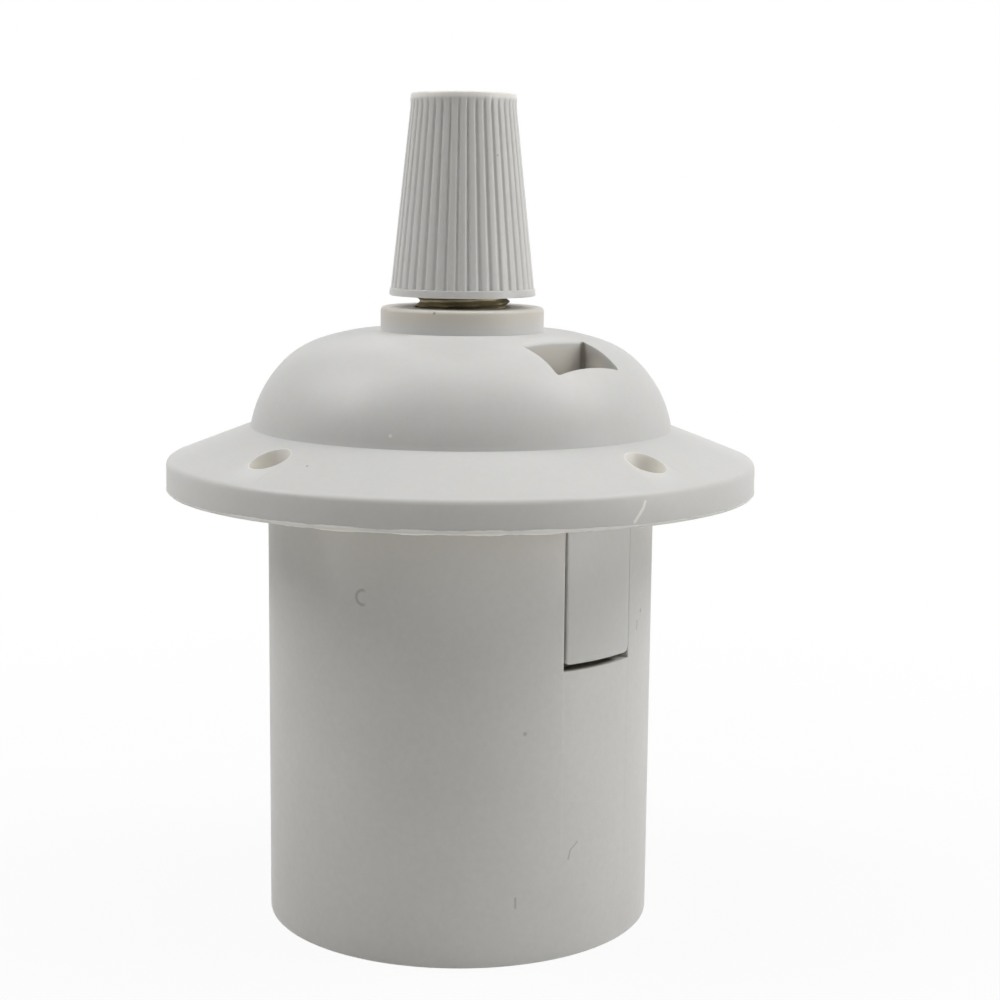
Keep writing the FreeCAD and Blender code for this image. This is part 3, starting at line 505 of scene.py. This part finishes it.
lowSkirt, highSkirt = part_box("skirt_shell")
skirt = {
    "radius": highSkirt.y,
    "top": highSkirt.z,
    "wall": 1.8 * mm,
    "footRound": 0.3 * mm,
    "topRound": 0.1 * mm,
    "notchBase": 29.25 * mm,
    "notchAngle": 27.2,
    "notchSteps": 24,
    "edgeRound": 0.12 * mm,
    "ledgeBore": 15.7 * mm,
    "ledgeLow": 34.5 * mm,
    "ledgeHigh": 36.5 * mm,
    "ledgeOverlap": 0.05 * mm,
    # painted shade in the gap under each latch
    "gapShadeRadius": 19.0 * mm,
    "gapShadeAzimuths": (75.5, 82.5, 90.0, 97.0),
    "gapShadeWidths": (0.98 * mm, 0.94 * mm, 0.80 * mm),
    # painted warm shade on the skirt's top, under the flange
    "warmShadeFrom": 36.0 * mm,
    "warmShadeTo": 44.0 * mm,
    "steps": 180,
    "finish": dict(plastic, grainDepth=0.014, mottle=0.05, roughness=(0.44, 0.56), markStrength=0.4,
                   paintedWarmShadeStrength=0.5),
}


def skirtPoint(azimuth, height):
    return polar(skirt["radius"], azimuth, height * mm)


def buildSkirt():
    dark = [  # specks and scratches at an azimuth and a height in millimetres
        (hook, skirtPoint(18.0, 36.6), 0.72 * mm, 0.22 * mm, polar(1, 108, 0)),
        (spot, skirtPoint(64.5, 23.5), 0.28 * mm),
        (stroke, skirtPoint(62.2, 6.0), skirtPoint(62.2, 7.0), 0.14 * mm),
        (stroke, skirtPoint(78.8, 10.2), skirtPoint(79.5, 11.1), 0.12 * mm),
        (stroke, skirtPoint(79.5, 11.1), skirtPoint(82.0, 11.8), 0.10 * mm),
        (spot, skirtPoint(112.0, 33.5), 0.30 * mm),
        (stroke, skirtPoint(109.0, 31.8), skirtPoint(109.4, 32.6), 0.16 * mm),
    ]
    # a pale nick, and a pale line down the notch's edge that is part mould flash and part painted highlight of its
    # rounded edge
    pale = [
        (spot, skirtPoint(76.4, 34.5), 0.26 * mm),
        (stroke, skirtPoint(76.2, 29.6), skirtPoint(76.2, 40.0), 0.13 * mm),
    ]
    # painted warm shade on the skirt's top, under the flange
    paintedWarmShade = [(above, skirt["warmShadeFrom"], skirt["warmShadeTo"])]
    paintedGapShade = []  # painted shade in the gap on the ledge under each latch, with the widest stroke at its nearer end
    for turn in (0, 180):
        ends = [polar(skirt["gapShadeRadius"], azimuth + turn, skirt["notchBase"]) for azimuth in skirt["gapShadeAzimuths"]]
        paintedGapShade += [(stroke, *ends[n:n + 2], width) for n, width in enumerate(skirt["gapShadeWidths"])]
    material = whitePlastic("skirtPlastic", skirt["finish"], dark, pale, paintedWarmShade, paintedGapShade)
    radius, bore = skirt["radius"], skirt["radius"] - skirt["wall"]
    corners = [
        (bore, 0.0, skirt["footRound"]),
        (radius, 0.0, skirt["footRound"]),
        (radius, skirt["top"], skirt["topRound"]),
        (bore, skirt["top"], skirt["topRound"]),
    ]
    piece = addPiece("skirtShell", spinProfile(corners, skirt["steps"]), material)
    notch = [
        (bore - skirt["wall"], skirt["notchBase"], 0),
        (radius + skirt["wall"], skirt["notchBase"], 0),
        (radius + skirt["wall"], skirt["top"] + skirt["wall"], 0),
        (bore - skirt["wall"], skirt["top"] + skirt["wall"], 0),
    ]
    for side in (0, 180):
        combine(piece, rotated(spinProfile(notch, skirt["notchSteps"], skirt["notchAngle"]), side), "DIFFERENCE")
    softenCutEdges(piece, skirt["edgeRound"], shared["sharp"])
    ledge = [
        (skirt["ledgeBore"], skirt["ledgeLow"], 0),
        (bore + skirt["ledgeOverlap"], skirt["ledgeLow"], 0),
        (bore + skirt["ledgeOverlap"], skirt["ledgeHigh"], 0),
        (skirt["ledgeBore"], skirt["ledgeHigh"], 0),
    ]
    combine(piece, spinProfile(ledge, skirt["steps"]), "UNION")
    smooth(piece)
    finishPiece(piece, "holder", "skirt_shell")


buildSkirt()
print("skirt is built")

lowCap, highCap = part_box("dome_cap")
cap = {
    "flangeRadius": highCap.x,
    "rimLow": 44.9 * mm,
    "rimHigh": 48.0 * mm,
    "rimRound": 0.45 * mm,
    "rimLowRound": 0.2 * mm,
    "rimInset": 0.12 * mm,  # the flash line stands out that far from the rim
    "domeFoot": 51.35 * mm,
    "arcRadius": 12.31 * mm,
    "arcCentreRadius": 9.61 * mm,
    "arcCentreHeight": 49.28 * mm,
    "crownDrop": 0.45 * mm,  # how much flatter than its arc the dome is round the boss
    "dropInner": 12.5 * mm,
    "dropOuter": 18.5 * mm,
    "outerSteps": 32,
    "innerSteps": 16,
    "wall": 2.0 * mm,
    "bossRadius": 8.4 * mm,
    "bossTop": highCap.z,
    "bossRound": 0.4 * mm,
    "bore": 5.0 * mm,
    "boreRound": 0.15 * mm,
    "lip": 2.0 * mm,  # the rim's thickness
    "lipRound": 0.15 * mm,
    "flangeWall": 2.3 * mm,
    "seatGap": 0.4 * mm,  # from the skirt's outside to the foot of the flange
    "spigotRadius": 18.0 * mm,
    "spigotBore": 16.4 * mm,
    "spigotLow": 40.5 * mm,
    "webTop": 50.8 * mm,
    "latchLow": lowCap.z,
    "latchOver": 0.9 * mm,  # how far a tongue reaches up into the flange
    "latchAngle": 26.0,
    "latchSteps": 12,
    "latchTurn": 0.25,  # its gap in the skirt's notch is narrower on one side
    "latchRound": 0.12 * mm,
    "nearCorner": 0.35 * mm,  # the two lower corners of a tongue
    "farCorner": 0.70 * mm,
    "nearRound": 0.60 * mm,  # its outer edge beside the wider gap, which lies beyond nearBeyond
    "nearBeyond": 4.0 * mm,
    "cornerSteps": 5,
    "tongueThick": 1.0 * mm,  # an edge that is longer runs through a tongue's thickness
    "latchBore": 18.6 * mm,
    "hookBore": 17.0 * mm,
    "hookHigh": 34.3 * mm,
    "hookLow": 30.7 * mm,
    "hookLead": 1.2 * mm,
    "slotInner": 15.5 * mm,  # the cut in the spigot behind a tongue
    "slotOuter": 18.1 * mm,
    "slotLow": 39.0 * mm,
    "slotHalf": 5.0 * mm,
    "windowInner": 12.85 * mm,
    "windowDepth": 4.95 * mm,
    "windowWidth": 8.82 * mm,
    "windowRound": 0.35 * mm,
    "windowLip": 0.40 * mm,  # the round of its inner edge
    "lipLead": 0.02,  # how far that round's cutter starts beyond it, as a share of the round
    "lipSteps": 8,
    "lipRows": 16,
    "shaftWall": 1.0 * mm,
    "shaftOuter": 19.8 * mm,
    "shaftLow": 49.0 * mm,
    "shaftArcLow": 50.0 * mm,
    "shaftSteps": 24,
    "holeCircle": 25.3 * mm,
    "holeRadius": 2.0 * mm,
    "holeSteps": 64,
    "drillLength": 20.0 * mm,
    "edgeRound": 0.14 * mm,
    "edgeSharp": 38.0,
    # painted warm shade round the boss
    "warmShadeFrom": 61.4 * mm,
    "warmShadeTo": 62.6 * mm,
    "warmShadeUnder": (0.6 * mm, 1.3 * mm),  # painted warm shade under the dome's own surface
    "paintedHoleLight": (0.01 * mm, 0.11 * mm),  # painted light on a hole's wall, this far outside its radius
    "paintedSideLight": ((14.6, 4.45, 57.6), (17.0, 4.45, 55.8)),  # painted light along a window's side wall, in millimetres
    "paintedSideLightWidth": 1.7 * mm,
    "markInset": 0.05 * mm,
    "steps": 240,
    "finish": dict(plastic, shade=(0.65, 0.645, 0.628, 1.0), light=(0.676, 0.672, 0.658, 1.0),
                   roughness=(0.38, 0.46), through=0.35, depth=1.4),
}


def domeArc(radius, lowHeight, count):  # from the foot of the round side up to the flat of the crown
    startAngle = math.asin((lowHeight - cap["arcCentreHeight"]) / radius)
    points = []
    for step in range(count + 1):
        angle = startAngle + (math.pi / 2 - startAngle) * step / count
        points.append((cap["arcCentreRadius"] + radius * math.cos(angle),
                       cap["arcCentreHeight"] + radius * math.sin(angle), 0))
    return points


def domeDrop(radius):
    share = min(1.0, max(0.0, (cap["dropOuter"] - radius) / (cap["dropOuter"] - cap["dropInner"])))
    return cap["crownDrop"] * share * share * (3 - 2 * share)


def domeHeight(radius):
    over = max(0.0, radius - cap["arcCentreRadius"])
    return cap["arcCentreHeight"] + math.sqrt(cap["arcRadius"] ** 2 - over ** 2) - domeDrop(radius)


def prism(outline, half):  # radii and heights of an outline, drawn out to both sides along Y
    bm = bmesh.new()
    face = bm.faces.new([bm.verts.new((x, -half, z)) for x, z in outline])
    grown = bmesh.ops.extrude_face_region(bm, geom=[face])
    moved = [v for v in grown["geom"] if isinstance(v, bmesh.types.BMVert)]
    bmesh.ops.translate(bm, verts=moved, vec=(0, 2 * half, 0))
    bmesh.ops.recalc_face_normals(bm, faces=bm.faces)
    return bm


def lipShape():  # what the round on a window's inner edge leaves out, level with the dome all along it
    inner, lip, half = cap["windowInner"], cap["windowLip"], cap["windowWidth"] / 2
    slope = math.atan((domeHeight(inner - lip) - domeHeight(inner)) / lip)
    start = inner - lip * (1 - math.sin(slope))
    outline = [(inner + lip, -lip), (inner + lip, lip), (start - lip * cap["lipLead"], lip)]
    for step in range(cap["lipSteps"] + 1):
        angle = (math.pi / 2 - slope) * (1 - step / cap["lipSteps"])
        outline.append((inner - lip + lip * math.cos(angle), lip * (math.sin(angle) - math.cos(slope))))
    bm = bmesh.new()
    rows = []
    for step in range(cap["lipRows"] + 1):
        y = half * (2 * step / cap["lipRows"] - 1)
        level = domeHeight(math.hypot(start, y))
        rows.append([bm.verts.new((x, y, level + z)) for x, z in outline])
    for row, following in zip(rows, rows[1:]):
        for n in range(len(outline)):
            bm.faces.new((row[n], row[n - 1], following[n - 1], following[n]))
    bm.faces.new(rows[0])
    bm.faces.new(rows[-1])
    bmesh.ops.recalc_face_normals(bm, faces=bm.faces)
    return bm


def shaftShape(depth):  # the walls round a window, up into the middle of the dome's own wall
    inner = cap["windowInner"] - cap["shaftWall"]
    radius = cap["arcRadius"] - depth
    arc = domeArc(radius, cap["shaftArcLow"], cap["shaftSteps"])
    outline = [(cap["shaftOuter"], cap["shaftLow"])]
    outline += [(r, z) for r, z, _ in arc if inner < r < cap["shaftOuter"]]
    over = inner - cap["arcCentreRadius"]
    outline += [(inner, cap["arcCentreHeight"] + math.sqrt(radius ** 2 - over ** 2)), (inner, cap["shaftLow"])]
    return prism(outline, cap["windowWidth"] / 2 + cap["shaftWall"])


def isTongueCorner(edge, side):  # the edge through the tongue at one corner of its free end
    a, b = (v.co for v in edge.verts)
    low = all(abs(p.z - cap["latchLow"]) < shared["same"] for p in (a, b))
    inwards = abs(math.hypot(a.x, a.y) - math.hypot(b.x, b.y)) > cap["tongueThick"]
    return low and inwards and a.y * side > 0 and isSharp(edge)


def isNearSide(edge):  # the outer edge down the tongue's side that has the wider gap
    a, b = (v.co for v in edge.verts)
    onFace = all(abs(math.hypot(p.x, p.y) - skirt["radius"]) < shared["same"] for p in (a, b))
    return onFace and a.y + b.y < -2 * cap["nearBeyond"] and isSharp(edge)


def tongueShape():
    latchTop = skirt["top"] + cap["latchOver"]
    corners = [
        (cap["latchBore"], cap["latchLow"], 0),
        (skirt["radius"], cap["latchLow"], 0),
        (skirt["radius"], latchTop, 0),
        (cap["latchBore"], latchTop, 0),
        (cap["latchBore"], cap["hookHigh"], 0),
        (cap["hookBore"], cap["hookHigh"], 0),
        (cap["hookBore"], cap["hookLow"] + cap["hookLead"], 0),
        (cap["latchBore"], cap["hookLow"], 0),
    ]
    bm = spinProfile(corners, cap["latchSteps"], cap["latchAngle"])
    for side, width in ((-1, cap["nearCorner"]), (1, cap["farCorner"])):
        roundEdges(bm, [e for e in bm.edges if isTongueCorner(e, side)], width, cap["cornerSteps"])
    roundEdges(bm, [e for e in bm.edges if isNearSide(e)], cap["nearRound"], cap["cornerSteps"])
    roundEdges(bm, [e for e in bm.edges if isSharp(e)], cap["latchRound"])
    return bm


def rimPoint(azimuth, height):
    return polar(cap["flangeRadius"] - cap["rimInset"], azimuth, height * mm)


def windowCorner(height):  # of the upright edge at the far end of the window that the camera sees
    inset = cap["markInset"]
    return Vector((cap["windowInner"] + inset, cap["windowWidth"] / 2 - inset, height * mm))


def buildCap():
    dark = [  # two specks, and painted shade down the window's inner corner
        (spot, polar(25.67 * mm, 11.9, 49.84 * mm), 0.17 * mm),
        (spot, polar(cap["bossRadius"], 26.6, cap["bossTop"] - 0.25 * mm), 0.20 * mm),
        # painted shade down the corner
        (stroke, windowCorner(52.0), windowCorner(60.2), 0.45 * mm),
    ]
    # painted warm shade round the boss and on the walls under the dome's surface
    paintedWarmShade = [(above, cap["warmShadeFrom"], cap["warmShadeTo"]), (underDome, *cap["warmShadeUnder"])]
    pale = [  # painted light on the walls of the holes and windows, and then a nick and a scratch
        *[(within, polar(cap["holeCircle"], azimuth, 0), *[cap["holeRadius"] + wide for wide in cap["paintedHoleLight"]])
          for azimuth in (0, 90, 180, 270)],
        *[(stroke, *[Vector((side * x, side * y, z)) * mm for x, y, z in cap["paintedSideLight"]], cap["paintedSideLightWidth"])
          for side in (1, -1)],
        (spot, polar(21.46 * mm, 27.9, 52.61 * mm), 0.22 * mm),
        (stroke, rimPoint(80.0, 47.3), rimPoint(79.6, 46.7), 0.20 * mm),
        (stroke, rimPoint(79.6, 46.7), rimPoint(77.8, 45.5), 0.22 * mm),
    ]
    material = whitePlastic("capPlastic", cap["finish"], dark, pale, paintedWarmShade)
    arc = domeArc(cap["arcRadius"], cap["domeFoot"], cap["outerSteps"])
    outer = [(r, z - domeDrop(r), 0) for r, z, _ in arc]
    inner = domeArc(cap["arcRadius"] - cap["wall"], cap["webTop"], cap["innerSteps"])
    crown, ceiling = outer[-1][1], inner[-1][1]
    rimRadius = cap["flangeRadius"] - cap["rimInset"]
    slope = (cap["domeFoot"] - cap["rimHigh"]) / (rimRadius - outer[0][0])
    lipBore = rimRadius - cap["lip"]
    corners = [
        (cap["bore"], ceiling, 0),
        (cap["bore"], cap["bossTop"], cap["boreRound"]),
        (cap["bossRadius"], cap["bossTop"], cap["bossRound"]),
        (cap["bossRadius"], crown, 0),
        *reversed(outer),
        (rimRadius, cap["rimHigh"], cap["rimRound"]),
        (rimRadius, cap["rimLow"], cap["rimLowRound"]),
        (lipBore, cap["rimLow"], cap["lipRound"]),
        (lipBore, cap["rimHigh"] + cap["lip"] * slope - cap["flangeWall"], 0),
        (skirt["radius"] + cap["seatGap"], skirt["top"], 0),
        (cap["spigotRadius"], skirt["top"], 0),
        (cap["spigotRadius"], cap["spigotLow"], 0),
        (cap["spigotBore"], cap["spigotLow"], 0),
        (cap["spigotBore"], cap["webTop"], 0),
        *inner,
    ]
    piece = addPiece("domeCap", spinProfile(corners, cap["steps"]), material)
    halfWidth = cap["windowWidth"] / 2
    for side in (0, 180):
        combine(piece, rotated(shaftShape(cap["wall"] / 2), side), "UNION")
        slot = block((cap["slotInner"], -cap["slotHalf"], cap["slotLow"]),
                     (cap["slotOuter"], cap["slotHalf"], skirt["top"]))
        combine(piece, rotated(slot, side), "DIFFERENCE")
        window = block((cap["windowInner"], -halfWidth, cap["spigotLow"]),
                       (cap["windowInner"] + cap["windowDepth"], halfWidth, crown + cap["wall"]),
                       cap["windowRound"])
        combine(piece, rotated(window, side), "DIFFERENCE")
        combine(piece, rotated(lipShape(), side), "DIFFERENCE")
    for side in (0, 90, 180, 270):
        drill = bmesh.new()
        bmesh.ops.create_cone(drill, cap_ends=True, segments=cap["holeSteps"], radius1=cap["holeRadius"],
                              radius2=cap["holeRadius"], depth=cap["drillLength"],
                              matrix=Matrix.Translation((cap["holeCircle"], 0, cap["rimHigh"])))
        combine(piece, rotated(drill, side), "DIFFERENCE")
    softenCutEdges(piece, cap["edgeRound"], cap["edgeSharp"])
    for side in (0, 180):
        combine(piece, rotated(tongueShape(), side + cap["latchTurn"]), "UNION")
    smooth(piece)
    finishPiece(piece, "holder", "dome_cap")


buildCap()
print("cap is built")

flash = {  # the ragged line of thin plastic that the mould left round the rim's lower edge
    "width": 0.20 * mm,
    "height": 0.58 * mm,
    "rise": 0.22 * mm,  # from the rim's lower edge to the middle of the line
    "ragged": 0.5,
    "waves": 9.0,
    "fineWaves": 5,  # times as many
    "fineShare": 0.6,
    "worn": 0.35,  # what the waves take off on average
    "smallest": 0.45,
    "heaviest": 38.0,  # the azimuth where it is widest, and again half a turn further on
    "wide": 15.0,  # degrees from there to where it starts to get less
    "narrow": 45.0,
    "least": 0.30,
    "sides": 10,
    "steps": 900,
    "smoothAngle": 60.0,
    # its colours are paler than the rim's plastic: painted light for the light through the thin plastic
    "finish": dict(plastic, shade=(0.88, 0.85, 0.77, 1.0), light=(0.93, 0.90, 0.83, 1.0), mottle=0.01,
                   grainDepth=0.02, through=0.4, roughness=(0.50, 0.60)),
}


def flashShare(x, y):  # how much of its full size the line has at a place
    heavy = polar(1, flash["heaviest"], 0)
    level = abs(heavy.x * x + heavy.y * y) / math.hypot(x, y)
    low, high = math.cos(math.radians(flash["narrow"])), math.cos(math.radians(flash["wide"]))
    share = min(1.0, max(0.0, (level - low) / (high - low)))
    return flash["least"] + (1 - flash["least"]) * share * share * (3 - 2 * share)


def buildFlash():
    middle = (cap["flangeRadius"] - flash["width"], cap["rimLow"] + flash["rise"])
    corners = []
    for step in range(flash["sides"]):
        angle = 2 * math.pi * step / flash["sides"]
        corners.append((middle[0] + flash["width"] * math.cos(angle),
                        middle[1] + flash["height"] / 2 * math.sin(angle), 0))
    bm = spinProfile(corners, flash["steps"])
    for vert in bm.verts:
        radius = math.hypot(vert.co.x, vert.co.y)
        around = Vector((vert.co.x, vert.co.y, 0)) / radius * flash["waves"]
        fine = flash["fineShare"] * noise.noise(around * flash["fineWaves"])
        bulk = 1 + flash["ragged"] * (noise.noise(around) + fine - flash["worn"])
        bulk = min(1.0, max(flash["smallest"], bulk)) * flashShare(vert.co.x, vert.co.y)
        sideways = (radius - middle[0]) * bulk + (1 - bulk) * flash["width"] / 2
        vert.co.x *= (middle[0] + sideways) / radius
        vert.co.y *= (middle[0] + sideways) / radius
        vert.co.z = middle[1] + (vert.co.z - middle[1]) * bulk
    piece = addPiece("rimFlash", bm, whitePlastic("flashPlastic", flash["finish"]), flash["smoothAngle"])
    finishPiece(piece, "holder", None)


buildFlash()
print("flash line is laid round the rim")

lowGrip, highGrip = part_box("cord_grip_cap")
grip = {
    "base": lowGrip.z,
    "top": highGrip.z,
    "baseRadius": 7.53 * mm,
    "baseRound": 0.14 * mm,
    "topRadius": 5.38 * mm,
    "crown": 0.35 * mm,
    "rimDrop": 0.03 * mm,  # the top sinks that much towards its edge
    "bore": 5.05 * mm,
    "coneHeight": 75.5 * mm,
    "throatHeight": 81.5 * mm,
    "throatRadius": 3.6 * mm,
    "ridges": 40,
    "ridgeTurn": 0.8,  # degrees from +X to the middle of a ridge
    "grooveShare": 0.52,  # of the way from one groove to the next
    "grooveDepth": 0.16 * mm,
    "ridgeRound": 0.05 * mm,
    "bandHeight": 0.75 * mm,
    "bandProud": 0.10 * mm,
    "bandRings": (-0.10, -0.05, 0.0, 0.02),  # rings of the step to the band, in millimetres above it
    "footShare": 0.15,  # of a ridge's depth at its foot
    "sideRings": 10,
    "runOutRings": 5,
    "plainTop": 0.25 * mm,
    "runOut": 1.0 * mm,
    "topRound": 0.20 * mm,
    "paintedLightDown": (0.75 * mm, 0.45 * mm),  # from the top to where its rim has painted light
    "perRidge": 16,
    "smoothAngle": 40.0,
    "finish": dict(plastic, mottle=0.04, grainDepth=0.010),
}


def gripRadius(height):
    share = (height - grip["base"]) / (grip["top"] - grip["crown"] - grip["base"])
    return grip["baseRadius"] + (grip["topRadius"] - grip["baseRadius"]) * share


def ridgeDepth(angle):  # how far the ridged side lies under the cone at an angle about Z
    phase = (math.degrees(angle) - grip["ridgeTurn"]) * grip["ridges"] / 360.0
    offGroove = abs(phase - math.floor(phase) - 0.5)  # 0 in a groove, 0.5 on a ridge
    groove = math.cos(math.pi / 2 * min(1.0, offGroove / (grip["grooveShare"] / 2))) ** 2
    crown = grip["ridgeRound"] * (1 - offGroove / 0.5) ** 2
    return grip["bandProud"] + crown + grip["grooveDepth"] * groove


def buildGrip():
    top = grip["top"] - grip["crown"]
    low, high = grip["base"] + grip["bandHeight"], top - grip["plainTop"]
    corners = [
        (grip["bore"], grip["base"], 0),
        (grip["baseRadius"], grip["base"], grip["baseRound"]),
    ]
    along, last = grip["sideRings"], grip["runOutRings"]
    rings = [low + offset * mm for offset in grip["bandRings"]]
    rings += [low + (high - grip["runOut"] - low) * n / along for n in range(1, along + 1)]
    rings += [high - grip["runOut"] * n / last for n in range(last - 1, -1, -1)]
    corners += [(gripRadius(z), z, 0) for z in rings]
    rim = grip["top"] - grip["rimDrop"]
    corners += [
        (gripRadius(rim), rim, grip["topRound"]),
        (grip["throatRadius"], grip["top"], 0),
        (grip["throatRadius"], grip["throatHeight"], 0),
        (grip["bore"], grip["coneHeight"], 0),
    ]
    bm = spinProfile(corners, grip["ridges"] * grip["perRidge"])
    for vert in bm.verts:
        radius = math.hypot(vert.co.x, vert.co.y)
        onSide = abs(radius - gripRadius(vert.co.z)) < shared["same"] * 10
        if onSide and low - shared["same"] < vert.co.z < high - shared["same"]:
            share = min(1.0, (high - vert.co.z) / grip["runOut"])
            sink = ridgeDepth(math.atan2(vert.co.y, vert.co.x)) * share * (2 - share)
            if vert.co.z < low + shared["same"]:
                sink *= grip["footShare"]
            vert.co.x *= 1 - sink / radius
            vert.co.y *= 1 - sink / radius
    dark = [
        (spot, polar(6.01 * mm, 81.2, 78.9 * mm), 0.17 * mm),
        (spot, polar(6.8 * mm, 59.0, 71.5 * mm), 0.13 * mm),
    ]
    # painted light on the top rim
    pale = [(above, *[grip["top"] - down for down in grip["paintedLightDown"]])]
    material = whitePlastic("gripPlastic", grip["finish"], dark, pale)
    piece = addPiece("gripCap", bm, material, grip["smoothAngle"])
    finishPiece(piece, "grip", "cord_grip_cap")


buildGrip()
print("grip is built")

metals = {  # colour of the bright metal and of its tarnish, the roughness range, and how metallic it is
    "brass": ((0.80, 0.62, 0.30, 1.0), (0.52, 0.38, 0.17, 1.0), (0.22, 0.42), 1.0),
    "steel": ((0.72, 0.73, 0.75, 1.0), (0.55, 0.55, 0.55, 1.0), (0.25, 0.44), 1.0),
    "oldBrass": ((0.52, 0.46, 0.30, 1.0), (0.34, 0.30, 0.195, 1.0), (0.38, 0.60), 0.55),
}
metalGrain = {
    "stain": (260.0, 5.0),  # scale and detail
    "stainRange": (0.38, 0.68),
    "drawn": (900.0, 3.0, 0.6),  # scale, detail and roughness of the drawing lines
    "drawnDepth": 0.004 * mm,
}


def metal(name, stretch):
    bright, tarnish, roughness, metallic = metals[name]
    material, tree, shader = newMaterial(name)
    shader.inputs["Metallic"].default_value = metallic
    stain = spread(tree, cloud(tree, *metalGrain["stain"]), 0.0, 1.0, *metalGrain["stainRange"])
    tree.links.new(mixColor(tree, stain, bright, tarnish), shader.inputs["Base Color"])
    drawn = cloud(tree, *metalGrain["drawn"], stretch)
    tree.links.new(spread(tree, drawn, *roughness), shader.inputs["Roughness"])
    tree.links.new(bump(tree, drawn, metalGrain["drawnDepth"]), shader.inputs["Normal"])
    return material


lowStem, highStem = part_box("entry_nipple")
stem = {
    "base": lowStem.z,
    "top": highStem.z,
    "radius": highStem.x,
    "bore": 3.9 * mm,
    "chamfer": 0.4 * mm,
    "pitch": 1.0 * mm,
    "threadDepth": 0.55 * mm,
    "crestShare": 0.16,
    "flankSlope": 1.12,  # over 1, so that the roots are flat
    "turnAt": 205.0,  # degrees at which the first crest leaves the base
    "ringStep": 0.1 * mm,
    "steps": 96,
    "slotWidth": 1.6 * mm,
    "slotLow": 64.95 * mm,
    "slotOver": 1.0 * mm,
    "stretch": (1.0, 1.0, 14.0),
    "smoothAngle": 35.0,
}


def buildStem():
    count = round((stem["top"] - stem["base"]) / stem["ringStep"])
    heights = [stem["base"] + (stem["top"] - stem["base"]) * n / count for n in range(count + 1)]
    outer = [(stem["radius"], z, 0) for z in heights]
    corners = [(stem["bore"], stem["base"], 0), *outer, (stem["bore"], stem["top"], 0)]
    bm = spinProfile(corners, stem["steps"])
    for vert in bm.verts:
        radius = math.hypot(vert.co.x, vert.co.y)
        if abs(radius - stem["radius"]) < shared["same"]:
            around = math.degrees(math.atan2(vert.co.y, vert.co.x)) - stem["turnAt"]
            phase = (vert.co.z - stem["base"]) / stem["pitch"] - around / 360.0
            offCrest = abs(phase - math.floor(phase) - 0.5) * 2  # 1 on a crest, 0 in a root
            fall = min(1.0, (1 - offCrest) / (1 - stem["crestShare"]) * stem["flankSlope"])
            atEnd = min(vert.co.z - stem["base"], stem["top"] - vert.co.z)
            sink = max(stem["threadDepth"] * fall, stem["chamfer"] - atEnd, 0.0)
            vert.co.x *= 1 - sink / radius
            vert.co.y *= 1 - sink / radius
    piece = addPiece("entryStem", bm, metal("oldBrass", stem["stretch"]), stem["smoothAngle"])
    half = stem["slotWidth"] / 2
    slot = block((-2 * stem["radius"], -half, stem["slotLow"]),
                 (2 * stem["radius"], half, stem["top"] + stem["slotOver"]))
    combine(piece, slot, "DIFFERENCE")
    smooth(piece, stem["smoothAngle"])
    finishPiece(piece, "holder", "entry_nipple")


buildStem()
print("stem is threaded")

insertFinish = dict(plastic, shade=(0.66, 0.645, 0.61, 1.0), light=(0.71, 0.70, 0.67, 1.0), roughness=(0.50, 0.62))
carriedStretch = (1.0, 12.0, 1.0)
slotMaterials = {  # for the parts that are carried over as they are
    "insert_plastic": whitePlastic("insertPlastic", insertFinish),
    "brass": metal("brass", carriedStretch),
    "steel": metal("steel", carriedStretch),
}

for subpart in frame["record"]["subparts"]:
    node = frame["nodes"][subpart["node"]]
    if subpart["material_slot"] in slotMaterials:
        node.data.materials.clear()
        node.data.materials.append(slotMaterials[subpart["material_slot"]])
print("carried-over parts have their finishes")
